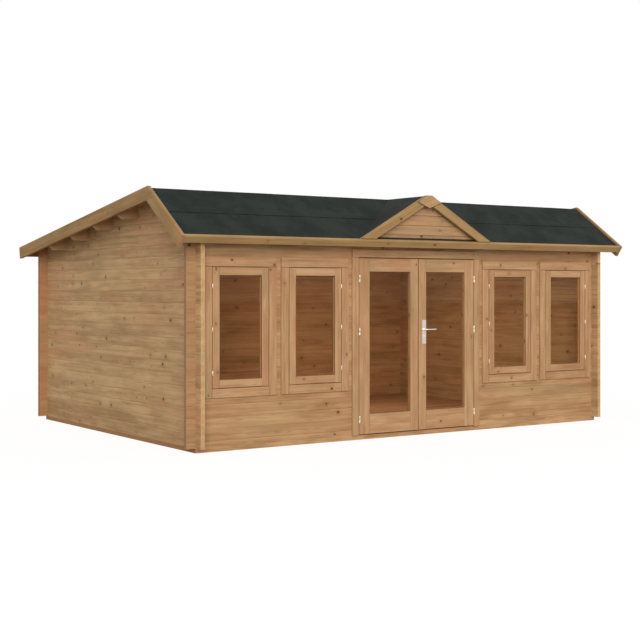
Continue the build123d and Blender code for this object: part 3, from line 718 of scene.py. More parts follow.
def offset_inward(outline: np.ndarray, amount: float) -> np.ndarray:
    """Moves each edge of a convex outline inward: every corner goes along the sum of its two inward normals.

    Args:
        outline: corners, counterclockwise, one to a row.
        amount: distance that each edge moves.

    Returns:
        The corners of the smaller outline.
    """
    edge = np.roll(outline, -1, 0) - outline
    edge /= np.linalg.norm(edge, axis=1)[:, None]
    normal = np.stack([-edge[:, 1], edge[:, 0]], 1)
    before = np.roll(normal, 1, 0)
    share = 1.0 + (normal * before).sum(1)
    return outline + amount * (normal + before) / share[:, None]


def round_corners(outline: np.ndarray, amounts: np.ndarray, steps: int) -> np.ndarray:
    """Rounds each corner of an outline off with a parabola that starts and ends an amount from it.

    With u from 0 to 1 the points are corner - (1 - u)^2 * amount * behind + u^2 * amount * ahead, and behind
    and ahead are the directions of the corner's two edges. One step gives a plain planed corner.

    Args:
        outline: corners, counterclockwise, one to a row.
        amounts: the amount at each corner.
        steps: stretches in each round.

    Returns:
        The points of the rounded outline.
    """
    ahead = np.roll(outline, -1, 0) - outline
    ahead /= np.linalg.norm(ahead, axis=1)[:, None]
    behind = np.roll(ahead, 1, 0)
    u = np.linspace(0.0, 1.0, steps + 1)[None, :, None]
    reach = amounts[:, None, None]
    points = outline[:, None] - (1 - u) ** 2 * reach * behind[:, None] + u ** 2 * reach * ahead[:, None]
    return points.reshape(-1, 2)


def ring_faces(rings: int, sides: int, start: int) -> list[tuple[int, ...]]:
    """Quads between rings of points: point j of ring i joins to point j + 1 and to ring i + 1."""
    i, j = np.meshgrid(np.arange(rings - 1), np.arange(sides), indexing="ij")
    k = (j + 1) % sides
    quads = np.stack([i * sides + j, i * sides + k, (i + 1) * sides + k, (i + 1) * sides + j], -1) + start
    return [tuple(q) for q in quads.reshape(-1, 4).tolist()]


def tube_faces(rings: int, sides: int, start: int) -> list[tuple[int, ...]]:
    """Faces between rings of points, and one over each end."""
    last = start + (rings - 1) * sides
    ends = [tuple(reversed(range(start, start + sides))), tuple(range(last, last + sides))]
    return ring_faces(rings, sides, start) + ends


class Piece:
    """Gathers shapes as whole arrays and makes them one object that rides on a body."""

    def __init__(self, name: str, seed: int = 1, arris: float = 0.0015) -> None:
        """Starts an empty piece with its own random numbers."""
        self.name = name
        self.arris = arris
        self.random = np.random.default_rng(seed)
        self.points: list[np.ndarray] = []
        self.faces: list[tuple[int, ...]] = []
        self.grain: list[np.ndarray] = []
        self.board: list[np.ndarray] = []
        self.count = 0

    def add(self, points: np.ndarray, faces: Iterable[tuple[int, ...]], grain: Optional[np.ndarray] = None,
            board: Sequence[float] = (0.5, 0.1, 0.0)) -> None:
        """Adds one closed shape whose faces already count from this piece's last point."""
        self.points.append(points)
        self.faces.extend(faces)
        self.grain.append(points if grain is None else grain)
        self.board.append(np.tile(np.array(board, float), (len(points), 1)))
        self.count += len(points)

    def prism(
        self,
        outline: Outline,
        plane: Plane,
        low: float,
        high: float,
        grain: Sequence[float],
        face: Sequence[float],
        arris: Union[float, Sequence[float], None] = None,
        floor: Optional[Span] = None,
    ) -> None:
        """Adds a planed board: a convex outline pushed along an axis, with every edge taken off.

        Ring 0 is the outline moved inward at one end, rings 1 and 2 are the whole outline an arris away from
        each end, and ring 3 is like ring 0. A point's grain is its place along, across and through the board.

        Args:
            outline: corners in the plane.
            plane: the plane, and with it the axis of the push.
            low: lower end along that axis.
            high: upper end along that axis.
            grain: direction of the grain.
            face: direction square to the board's broad face.
            arris: width that the edges lose, if not the piece's own, or one width for each of the corners.
            floor: slope and height of a plane z = height + slope * y that no point goes below.
        """
        shape = np.array(outline, float)
        amounts = np.zeros(len(shape)) + (self.arris if arris is None else arris)
        nxt = np.roll(shape, -1, 0)
        if (shape[:, 0] * nxt[:, 1] - shape[:, 1] * nxt[:, 0]).sum() < 0:
            shape, amounts = shape[::-1], amounts[::-1]
        cut = float(amounts.min())
        whole = round_corners(shape, amounts, ROUND_STEPS if amounts.max() > 2 * cut else 1)
        small = offset_inward(whole, cut)
        sides = len(whole)
        a, b, axis = plane.value
        rings = np.zeros((4, sides, 3))
        levels = ((small, low), (whole, low + cut), (whole, high - cut), (small, high))
        for ring, (flat, level) in enumerate(levels):
            rings[ring, :, a], rings[ring, :, b], rings[ring, :, axis] = flat[:, 0], flat[:, 1], level
        if plane is Plane.FRONT:
            rings = rings[::-1]
        points = rings.reshape(-1, 3)
        if floor is not None:
            points[:, 2] = np.maximum(points[:, 2], floor[1] + floor[0] * points[:, 1])
        self.add(points, tube_faces(len(rings), sides, self.count), *self._grain(points, grain, face))

    def _grain(
        self, points: np.ndarray, grain: Sequence[float], face: Sequence[float]
    ) -> tuple[np.ndarray, list[float]]:
        """Places points in their board by dot products with its directions, and draws the board's numbers."""
        along = np.array(grain, float) / np.linalg.norm(grain)
        through = np.array(face, float) / np.linalg.norm(face)
        across = np.cross(through, along)
        placed = np.stack([points @ along, points @ across, points @ through], 1)
        middle = (placed.max(0) + placed.min(0)) / 2
        width = float(np.ptp(placed[:, 1]))
        placed -= middle
        placed[:, 0] += self.random.uniform(0, TREE_LENGTH)
        tone = float(np.clip(self.random.normal(0.5, TONE_SPREAD), 0, 1))
        return placed, [tone, width, float(self.random.uniform(0, SEEDS))]

    def bar(self, x: Span, y: Span, z: Span, run: Run,
            arris: Union[float, Sequence[float], None] = None) -> None:
        """Adds a square-edged board between two corners, with its grain along one axis.

        Four arrises go round from the corner where both other axes are lowest, and along the first of them.
        """
        spans = (x, y, z)
        axis = "xyz".index(run.value)
        others = [i for i in range(3) if i != axis]
        plane = {0: Plane.SIDE, 1: Plane.FRONT, 2: Plane.PLAN}[axis]
        a, b = spans[others[0]], spans[others[1]]
        outline = [(a[0], b[0]), (a[1], b[0]), (a[1], b[1]), (a[0], b[1])]
        thin = min(others, key=lambda i: spans[i][1] - spans[i][0])
        grain, face = np.zeros(3), np.zeros(3)
        grain[axis] = 1.0
        face[thin] = 1.0
        self.prism(outline, plane, spans[axis][0], spans[axis][1], grain, face, arris)

    def lathe(
        self,
        profile: Outline,
        centre: Sequence[float],
        axis: Run,
        sides: int,
        flip: bool = False,
    ) -> None:
        """Adds a turned shape: each (radius, height) of the profile goes round the axis; the ends are closed.

        Args:
            profile: radius and height of each ring, from the lowest up.
            centre: point on the axis from which heights are counted.
            axis: direction of the axis.
            sides: points in each ring.
            flip: counts the heights the other way along the axis.
        """
        rings = np.array(profile, float)
        turn = np.linspace(0, 2 * pi, sides, endpoint=False)
        order = {Run.ALONG_X: (1, 2, 0), Run.ALONG_Y: (2, 0, 1), Run.ALONG_Z: (0, 1, 2)}[axis]
        points = np.zeros((len(rings), sides, 3))
        points[:, :, order[0]] = rings[:, :1] * np.cos(turn)
        points[:, :, order[1]] = rings[:, :1] * np.sin(turn) * (-1 if flip else 1)
        points[:, :, order[2]] = (rings[:, 1:] * (-1 if flip else 1)) + 0 * turn
        self.add(points.reshape(-1, 3) + np.array(centre, float), tube_faces(len(rings), sides, self.count))

    def sweep(self, path: np.ndarray, radius: np.ndarray, flip: bool, sides: int = 20) -> None:
        """Adds a round bar along a level path.

        Args:
            path: points of the path, all at one height.
            radius: the bar's radius at each point.
            flip: turns the faces round, for a path that bends the other way.
            sides: points round the bar.
        """
        ahead = np.gradient(path, axis=0)
        ahead /= np.linalg.norm(ahead, axis=1)[:, None]
        beside = np.stack([ahead[:, 1], -ahead[:, 0], 0 * ahead[:, 0]], 1)
        turn = np.linspace(0, 2 * pi, sides, endpoint=False)
        level = np.array([0.0, 0.0, 1.0])
        points = (
            path[:, None]
            + beside[:, None] * (radius[:, None] * np.cos(turn))[..., None]
            + level * (radius[:, None] * np.sin(turn))[..., None]
        )
        faces = tube_faces(len(path), sides, self.count)
        self.add(points.reshape(-1, 3), [face[::-1] for face in faces] if flip else faces)

    def make(self, material: bpy.types.Material, body: str, replaces: Sequence[str] = (),
             smooth: float = 0.0) -> bpy.types.Object:
        """Makes the object, dresses it and puts it on its body.

        Args:
            material: its finish.
            body: the CAD body that it rides on.
            replaces: CAD nodes that it stands for.
            smooth: angle in degrees under which neighbouring faces shade as one.

        Returns:
            The object.
        """
        mesh = bpy.data.meshes.new(self.name)
        mesh.from_pydata(np.concatenate(self.points).tolist(), [], self.faces)
        for name, rows in (("grain", self.grain), ("board", self.board)):
            layer = mesh.attributes.new(name, "FLOAT_VECTOR", "POINT")
            layer.data.foreach_set("vector", np.concatenate(rows).astype(np.float32).ravel())
        mesh.materials.append(material)
        piece = bpy.data.objects.new(self.name, mesh)
        bpy.context.scene.collection.objects.link(piece)
        if smooth:
            mesh.shade_smooth()
            mesh.set_sharp_from_angle(angle=radians(smooth))
        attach(piece, body)
        if replaces:
            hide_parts(*replaces)
        log.info("%s: %d points, on %s", self.name, self.count, body)
        return piece


def dress(node: str, material: bpy.types.Material) -> None:
    """Gives a CAD node's slots one material."""
    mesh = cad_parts[node].data
    if not mesh.materials:
        mesh.materials.append(material)
    for index in range(len(mesh.materials)):
        mesh.materials[index] = material


# Sub-assemblies


@dataclass(frozen=True)
class Base:
    """Bearers, joists and the floor of tongued boards."""

    rows: int = 32
    joist_step: float = 0.52
    joists: int = 7
    skip: int = 3
    gap: float = 0.0008

    def build(self, finishes: Finishes) -> None:
        """Lays the floor in rows of two boards that meet over a joist, `skip` joists on in each row."""
        floor = Piece("floor_boards", seed=11, arris=0.0018)
        half = SHELL.half_length - SHELL.log
        near, far = SHELL.front_inside, SHELL.half_depth - SHELL.log
        lines = np.linspace(near, far, self.rows + 1)
        top = SHELL.bearer + SHELL.deck
        for row in range(self.rows):
            joint = (row * self.skip % self.joists - self.joists // 2) * self.joist_step
            span = (float(lines[row]) + self.gap / 2, float(lines[row + 1]) - self.gap / 2)
            floor.bar((-half, joint - self.gap / 2), span, (SHELL.bearer, top), Run.ALONG_X)
            floor.bar((joint + self.gap / 2, half), span, (SHELL.bearer, top), Run.ALONG_X)
        floor.make(finishes.boards, "cabin", ["floor_deck"])

    def dress(self, finishes: Finishes) -> None:
        """Finishes the bearers and joists."""
        dress("base_bearers", finishes.front_logs.on_solid(Run.ALONG_X, 31.0, SHELL.bearer))
        dress("floor_joists", finishes.rafter_wood.on_solid(Run.ALONG_Y, 32.0, SHELL.bearer))


@dataclass(frozen=True)
class LogWalls:
    """The four log walls, whose solids keep their interlocking corners."""

    def dress(self, finishes: Finishes) -> None:
        """Finishes each wall log by log: side walls start with a whole log, the others with a half."""
        whole, half = SHELL.bearer, SHELL.bearer - SHELL.pitch / 2
        side = SHELL.half_length - SHELL.log / 2
        cross = SHELL.half_depth - SHELL.log / 2
        dress("left_wall", finishes.side_logs.on_solid(Run.ALONG_Y, 1.0, SHELL.pitch, whole, -side))
        dress("right_wall", finishes.side_logs.on_solid(Run.ALONG_Y, 2.0, SHELL.pitch, whole, side))
        dress("rear_wall", finishes.rear_logs.on_solid(Run.ALONG_X, 3.0, SHELL.pitch, half, cross))
        front = finishes.front_logs.on_solid(Run.ALONG_X, 4.0, SHELL.pitch, half, -cross)
        for node in ("front_wall_left", "front_wall_right", "front_wall_top"):
            dress(node, front)


@dataclass(frozen=True)
class Roof:
    """Purlins, two slopes of tongued boards, felt in lapped courses, and the boards round the edge."""

    boards: int = 60
    gap: float = 0.0008
    lap: float = 0.075
    felt: float = 0.0022
    front_seam: float = 0.430
    rear_seams: tuple[float, ...] = (0.570, 1.500, 2.430)
    lap_run: float = 0.105
    ridge_flat: Span = (0.15, 0.2)
    eave_play: float = 0.002
    columns: int = 97
    swells: tuple[tuple[float, float, float], ...] = ((5.1, 1.7, 0.00036), (13.7, 0.9, 0.00018))
    barge_arris: float = 0.0022
    eave_arrises: tuple[float, ...] = (0.0015, 0.008, 0.003, 0.0015)
    purlin_grain: float = 0.25
    purlin_foot: float = 0.02

    def build(self, finishes: Finishes) -> None:
        """Builds the boards, the felt and the edge boards."""
        self._boards(finishes)
        self._felt(finishes)
        self._edges(finishes)

    def _boards(self, finishes: Finishes) -> None:
        """Lays roof boards side by side from gable to gable, each from the ridge to its eave."""
        s = SHELL
        top, bottom = -s.felt, -s.skin
        slopes = {
            "front": (s.on_front, s.front_eave - s.edge_board, 21),
            "rear": (s.on_rear, s.rear_eave - s.edge_board, 22),
        }
        lines = np.linspace(-s.roof_half, s.roof_half, self.boards + 1)
        for name, (place, eave, seed) in slopes.items():
            deck = Piece(f"roof_deck_{name}", seed, arris=0.0018)
            ridge = (s.at_ridge(top, top), s.at_ridge(bottom, bottom))
            outline = [ridge[0], place(eave, top), place(eave, bottom), ridge[1]]
            run = np.array(place(1.0, 0.0)) - np.array(place(0.0, 0.0))
            up = np.array(place(0.0, 1.0)) - np.array(place(0.0, 0.0))
            for low, high in zip(lines[:-1], lines[1:]):
                span = (low + self.gap / 2, high - self.gap / 2)
                deck.prism(outline, Plane.SIDE, *span, (0, *run), (0, *up))
            deck.make(finishes.boards, "cabin", [f"roof_boards_{name}"])

    def _course(self, piece: Piece, line: list[tuple[float, float, float]], drop: float) -> None:
        """Adds one course of felt.

        Its top follows (distance, height, side) points down the slopes, and the underside lies `drop` below.
        Slow sine waves, size * sin(a * x + b * row), lift both a little, as on felt that was walked on.

        Args:
            piece: the piece that it is added to.
            line: places of the top, from one edge of the course to the other; side is -1 in front, 1 behind.
            drop: thickness of the felt.
        """
        s = SHELL
        tops, unders = [], []
        down = np.array([along * side for along, _, side in line])
        for along, up, side in line:
            if side == 0:
                tops.append(s.at_ridge(up, up))
                unders.append(s.at_ridge(up - drop, up - drop))
            else:
                place = s.on_front if side < 0 else s.on_rear
                tops.append(place(along, up))
                unders.append(place(along, up - drop))
        outline = np.array(unders + tops[::-1])
        columns = np.linspace(-s.roof_half, s.roof_half, self.columns)
        rows = np.arange(len(outline))
        swell = sum(size * np.sin(columns[:, None] * a + rows * b) for a, b, size in self.swells)
        points = np.zeros((len(columns), len(outline), 3))
        points[:, :, 0] = columns[:, None]
        points[:, :, 1] = outline[:, 0]
        points[:, :, 2] = outline[:, 1] + swell
        grain = np.zeros_like(points)
        grain[:, :, 0] = columns[:, None]
        grain[:, :, 1] = np.concatenate([down, down[::-1]])
        sides = len(outline)
        faces = ring_faces(len(columns), sides, piece.count)
        count = len(tops)
        for base, order in ((piece.count, -1), (piece.count + (len(columns) - 1) * sides, 1)):
            for k in range(count - 1):
                quad = (base + k, base + k + 1, base + sides - 2 - k, base + sides - 1 - k)
                faces.append(quad[::order])
        piece.add(points.reshape(-1, 3), faces, grain.reshape(-1, 3))

    def _felt(self, finishes: Finishes) -> None:
        """Lays the courses, each lapped over the one below it, and one of them over the ridge."""
        s = SHELL
        felt = Piece("felt_courses", seed=23)
        under, over = -s.felt + self.felt, -s.felt + 2 * self.felt
        low = s.front_eave - s.edge_board - self.eave_play
        steps = np.linspace(self.front_seam - self.lap, low, 5)
        self._course(felt, [(float(d), under, -1) for d in steps], self.felt)
        ends = (*self.rear_seams, s.rear_eave - s.edge_board - self.eave_play)
        before, behind = self.ridge_flat
        ridge = [(self.front_seam, over, -1), (self.front_seam - self.lap, over, -1),
                 (self.front_seam - self.lap_run, under, -1), (before, under, -1), (0.0, under, 0),
                 (behind, under, 1), (ends[0] - self.lap_run, under, 1), (ends[0] - self.lap, over, 1),
                 (ends[0], over, 1)]
        self._course(felt, ridge, self.felt)
        for start, end in zip(ends[:-1], ends[1:]):
            line = [(start - self.lap, under, 1), (start + behind, under, 1), ((start + end) / 2, under, 1)]
            if end is not ends[-1]:
                line += [(end - self.lap_run, under, 1), (end - self.lap, over, 1), (end, over, 1)]
            else:
                line += [(end, under, 1)]
            self._course(felt, line, self.felt)
        felt.make(finishes.felt, "cabin", ["roof_felt"])

    def _edges(self, finishes: Finishes) -> None:
        """Builds the bargeboards on the gables and the fascias on the eaves."""
        s = SHELL
        rise, foot = s.barge_rise, s.barge_rise - s.barge_depth
        rear_run = (0, *(np.array(s.on_rear(1, 0)) - np.array(s.on_rear(0, 0))))
        front_run = (0, *(np.array(s.on_front(1, 0)) - np.array(s.on_front(0, 0))))
        rear = [s.at_ridge(rise, rise), s.on_rear(s.rear_eave, rise), s.on_rear(s.rear_eave, foot),
                s.at_ridge(rise, foot)]
        front = [s.at_ridge(rise, foot), s.on_front(s.front_eave, rise), s.on_front(s.front_eave, foot),
                 s.at_ridge(foot, foot)]
        for name, outline, run, seed in (("rear", rear, rear_run, 24), ("front", front, front_run, 25)):
            barge = Piece(f"{name}_barge", seed, self.barge_arris)
            for low in (-s.roof_half - s.edge_board, s.roof_half):
                barge.prism(outline, Plane.SIDE, low, low + s.edge_board, run, (1, 0, 0))
            barge.make(finishes.barges, "cabin", [f"{name}_bargeboards"])
        for name, place, eave, depth, seed in (
            ("front", s.on_front, s.front_eave, s.front_fascia, 26),
            ("rear", s.on_rear, s.rear_eave, s.rear_fascia, 27),
        ):
            top, bottom = s.fascia_rise, s.fascia_rise - depth
            inner = eave - s.edge_board
            outline = [place(inner, top), place(eave, top), place(eave, bottom), place(inner, bottom)]
            normal = np.array(place(1.0, 0.0)) - np.array(place(0.0, 0.0))
            fascia = Piece(f"{name}_eave_board", seed)
            ends, face = (-s.roof_half, s.roof_half), (0, *normal)
            fascia.prism(outline, Plane.SIDE, *ends, (1, 0, 0), face, self.eave_arrises)
            fascia.make(finishes.edges, "cabin", [f"{name}_fascia"])

    def dress(self, finishes: Finishes) -> None:
        """Finishes the purlins, which keep their solids."""
        wood = finishes.rafter_wood.on_solid(Run.ALONG_X, 33.0, self.purlin_grain, self.purlin_foot)
        dress("purlins", wood)


@dataclass(frozen=True)
class Gablet:
    """The small cross roof over the doors: clad front, bargeboards and the plate on its peak."""

    pitch: float = radians(29.3)
    setback: float = 0.130
    cladding: float = 0.019
    barge_depth: float = 0.090
    plate: float = 0.016
    plate_half: float = 0.158
    plate_drop: float = 0.134
    shoulder: float = 0.070
    joints: tuple[float, ...] = (2.111, 2.211, 2.316)
    joint_gap: float = 0.001
    least_board: float = 0.01
    peak_gap: float = 0.012
    seat_gap: float = 0.0005
    arris: float = 0.002
    plate_slant: float = 0.35
    board_grain: float = 0.2

    def height(self, half_width: float, up: float) -> float:
        """Height of a line `up` square to the gablet's felt, `half_width` from its middle."""
        return SHELL.ridge + up / cos(self.pitch) - half_width * tan(self.pitch)

    def half_width(self, height: float, up: float) -> float:
        """How far from the middle that line has the given height."""
        return (SHELL.ridge + up / cos(self.pitch) - height) / tan(self.pitch)

    def build(self, finishes: Finishes) -> None:
        """Builds the cladding board by board, the two bargeboards and the plate."""
        s = SHELL
        face = s.front - self.setback
        slope = tan(s.front_pitch)
        floor = (slope, s.ridge - s.ridge_y * slope)
        foot = floor[1] + floor[0] * face
        peak = self.height(0.0, -s.skin)
        levels = [foot, *[z for z in self.joints if z > foot + self.least_board], peak - self.peak_gap]
        clad = Piece("gablet_cladding", seed=41, arris=self.arris)
        for low, high in zip(levels[:-1], [level - self.joint_gap for level in levels[1:]]):
            a, b = self.half_width(low, -s.skin), self.half_width(high, -s.skin)
            outline = [(-a, low), (a, low), (b, high), (-b, high)]
            clad.prism(outline, Plane.FRONT, face, face + self.cladding, (1, 0, 0), (0, 1, 0), floor=floor)
        clad.make(finishes.boards, "cabin", ["gablet_front"])
        near = s.front - s.eave_overhang + self.plate
        base = s.on_front(s.front_eave - s.edge_board, s.fascia_rise)[1] + self.seat_gap
        top, under = s.barge_rise, s.barge_rise - self.barge_depth
        for name, side in (("left", -1), ("right", 1)):
            barge = Piece(f"gablet_edge_{name}", 42 + side, self.arris)
            outer, inner = self.half_width(base, top), self.half_width(base, under)
            flat = self.half_width(s.ridge, top)
            outline = [(0.0, self.height(0.0, under)), (side * inner, base), (side * outer, base),
                       (side * flat, s.ridge), (0.0, s.ridge)]
            run = (side * cos(self.pitch), 0, -sin(self.pitch))
            barge.prism(outline, Plane.FRONT, near, near + s.edge_board, run, (0, 1, 0))
            barge.make(finishes.edges, "cabin", [f"gablet_barge_{name}"])
        flat = self.half_width(s.ridge, top)
        side, low, top = self.plate_half, s.ridge - self.shoulder, s.ridge
        outline = [(0, top - self.plate_drop), (side, low), (flat, top), (-flat, top), (-side, low)]
        plate = Piece("gablet_peak_plate", seed=45, arris=self.arris)
        plate.prism(outline, Plane.FRONT, near - self.plate, near, (1, 0, self.plate_slant), (0, 1, 0))
        plate.make(finishes.trim, "cabin", ["gablet_plate"])

    def dress(self, finishes: Finishes) -> None:
        """Finishes the boards and felt that keep their solids."""
        boards = finishes.rafter_wood.on_solid(Run.ALONG_X, 34.0, self.board_grain)
        dress("gablet_boards_left", boards)
        dress("gablet_boards_right", boards)
        dress("gablet_felt", finishes.felt)


@dataclass(frozen=True)
class Opening:
    """An upright rectangle in the front wall."""

    left: float
    right: float
    bottom: float
    top: float

    def grown(self, amount: float, foot: bool = True) -> "Opening":
        """The rectangle with its edges moved out by an amount, or in by a negative one; the foot may stay."""
        bottom = self.bottom - amount if foot else self.bottom
        return Opening(self.left - amount, self.right + amount, bottom, self.top + amount)


@dataclass(frozen=True)
class Joinery:
    """What windows and doors share: the sizes of their stops, beads, panes and arrises, and their cuts."""

    stop: float = 0.012
    inner: float = 0.012
    inner_width: float = 0.070
    bevel: float = 0.008
    bead_arris: float = 0.0006
    inner_bead_arris: float = 0.0008
    rebate: float = 0.008
    pane: float = 0.004
    arris: float = 0.0012

    @staticmethod
    def frame_ring(piece: Piece, outer: Opening, hole: Opening, y: Span, edge: float = 0.0) -> None:
        """Adds head, jambs and foot round an opening: the head lies over the jambs, the foot between them.

        Args:
            piece: the piece that they are added to.
            outer: outside of the ring.
            hole: its opening; the ring has no foot where both bottoms agree.
            y: front and back of the boards.
            edge: width that the front edges round the opening lose, if more than the piece's own arris.
        """
        own = piece.arris
        big = max(edge, own)
        piece.bar((outer.left, outer.right), y, (hole.top, outer.top), Run.ALONG_X, (big, own, own, own))
        piece.bar((outer.left, hole.left), y, (outer.bottom, hole.top), Run.ALONG_Z, (own, big, own, own))
        piece.bar((hole.right, outer.right), y, (outer.bottom, hole.top), Run.ALONG_Z, (big, own, own, own))
        if hole.bottom > outer.bottom:
            foot = (outer.bottom, hole.bottom)
            piece.bar((hole.left, hole.right), y, foot, Run.ALONG_X, (own, own, own, big))

    def leaf(self, piece: Piece, outer: Opening, glass: Opening, y: Span, edge: float) -> None:
        """Adds stiles, rails and glazing beads round a pane in the middle of a leaf's thickness.

        The stiles run the full height. Each bead is a small board in the corner of stile and pane, and the
        outer ones slope towards the glass.

        Args:
            piece: the piece that they are added to.
            outer: outside of the leaf.
            glass: the glass that shows.
            y: front and back of the leaf.
            edge: width that the leaf's outer front edges lose.
        """
        hole = glass.grown(self.rebate)
        own = piece.arris
        across, upright = (hole.left, hole.right), (outer.bottom, outer.top)
        piece.bar((outer.left, hole.left), y, upright, Run.ALONG_Z, (edge, own, own, own))
        piece.bar((hole.right, outer.right), y, upright, Run.ALONG_Z, (own, edge, own, own))
        piece.bar(across, y, (hole.top, outer.top), Run.ALONG_X, (own, own, own, edge))
        piece.bar(across, y, (outer.bottom, hole.bottom), Run.ALONG_X, (edge, own, own, own))
        front, back = y
        middle = (front + back) / 2
        near, far = middle - self.pane / 2, middle + self.pane / 2
        cut = front + self.bevel
        sides = ((hole.left, glass.left, (front, cut)), (glass.right, hole.right, (cut, front)))
        for low, high, ends in sides:
            outline = [(low, near), (high, near), (high, ends[1]), (low, ends[0])]
            span = (hole.bottom, hole.top)
            piece.prism(outline, Plane.PLAN, *span, (0, 0, 1), (1, 0, 0), self.bead_arris)
            piece.bar((low, high), (far, back), span, Run.ALONG_Z, self.inner_bead_arris)
        levels = ((hole.bottom, glass.bottom, (front, cut)), (glass.top, hole.top, (cut, front)))
        for low, high, ends in levels:
            outline = [(near, low), (near, high), (ends[1], high), (ends[0], low)]
            piece.prism(outline, Plane.SIDE, glass.left, glass.right, (1, 0, 0), (0, 0, 1), self.bead_arris)
            piece.bar((glass.left, glass.right), (far, back), (low, high), Run.ALONG_X, self.inner_bead_arris)

    @staticmethod
    def screw(piece: Piece, x: float, y: float, z: float, radius: float, flip: bool) -> None:
        """Adds a countersunk screw head with a dished middle, facing along +Y, or along -Y where flipped."""
        profile = [(radius, -0.0004), (radius, 0.0003), (radius * 0.86, 0.0009), (radius * 0.42, 0.0009),
                   (radius * 0.3, 0.0003)]
        piece.lathe(profile, (x, y, z), Run.ALONG_Y, 12, flip)


@dataclass(frozen=True)
class Windows(Joinery):
    """Four framed sashes with their panes and hinges."""

    width: float = 0.810
    height: float = 1.346
    bottom: float = 0.512
    corner: float = 0.080
    spacing: float = 0.055
    casing: float = 0.088
    head: float = 0.096
    gap: float = 0.003
    sash: float = 0.040
    stile: float = 0.086
    round_edge: float = 0.006
    hinge_heights: tuple[float, ...] = (0.148, 0.561, 0.974)
    hinge_length: float = 0.047
    knuckle: float = 0.005
    stem: Span = (0.008, 0.010)

    def places(self) -> list[float]:
        """Middles of the windows, from the left."""
        first = -SHELL.half_length + self.corner + self.width / 2
        second = first + self.width + self.spacing
        return [first, second, -second, -first]

    def build(self, finishes: Finishes) -> None:
        """Builds the four windows and their hinges."""
        s = SHELL
        low = self.bottom + self.casing
        high = self.bottom + self.height - self.head
        half = self.width / 2 - self.casing
        for number, x in enumerate(self.places(), 1):
            hole = Opening(x - half, x + half, low, high)
            stop = hole.grown(-self.stop)
            outer = Opening(x - self.width / 2, x + self.width / 2, self.bottom, self.bottom + self.height)
            window = Piece(f"window_surround_{number}", 50 + number, self.arris)
            self.frame_ring(window, outer, hole, (s.face, s.front), self.round_edge)
            self.frame_ring(window, hole.grown(s.lining), hole, (s.front, s.front_inside))
            self.frame_ring(window, hole, stop, (s.face + self.sash, s.front_inside))
            inner = (s.front_inside, s.front_inside + self.inner)
            self.frame_ring(window, stop.grown(self.inner_width), stop, inner)
            window.make(finishes.trim, "cabin", [f"window_frame_{number}"])
            sash = Piece(f"window_leaf_{number}", 60 + number, self.arris)
            edge = hole.grown(-self.gap)
            self.leaf(sash, edge, edge.grown(-self.stile), (s.face, s.face + self.sash), self.round_edge)
            sash.make(finishes.trim, "cabin", [f"window_sash_{number}"])
        self._hinges(finishes, low, half)

    def _hinges(self, finishes: Finishes, low: float, half: float) -> None:
        """Builds the hinges: a barrel with rounded ends, on stems screwed into the casing and the sash."""
        hinges = Piece("window_barrels", seed=65, arris=0.0005)
        places = self.places()
        edges = [places[0] - half + self.gap, places[1] + half - self.gap]
        edges += [-e for e in reversed(edges)]
        half_long, r = self.hinge_length / 2, self.knuckle
        upper = [(r * 0.88, 0.0004), (r, 0.0008), (r, half_long - 0.003), (r * 0.85, half_long - 0.0012),
                 (r * 0.45, half_long)]
        profile = [(radius, -up) for radius, up in reversed(upper)] + upper
        wide, tall = self.stem
        y = SHELL.face - r
        for x in edges:
            for height in self.hinge_heights:
                z = low + height
                hinges.lathe(profile, (x, y, z), Run.ALONG_Z, 18)
                for middle in (z - half_long / 2, z + half_long / 2):
                    span = (middle - tall / 2, middle + tall / 2)
                    hinges.bar((x - wide / 2, x + wide / 2), (y, SHELL.face), span, Run.ALONG_Z)
        hinges.make(finishes.hinge, "cabin", ["window_hinges"], SMOOTH)

    def dress(self, finishes: Finishes) -> None:
        """Glazes the sashes."""
        dress("window_panes", finishes.glass)


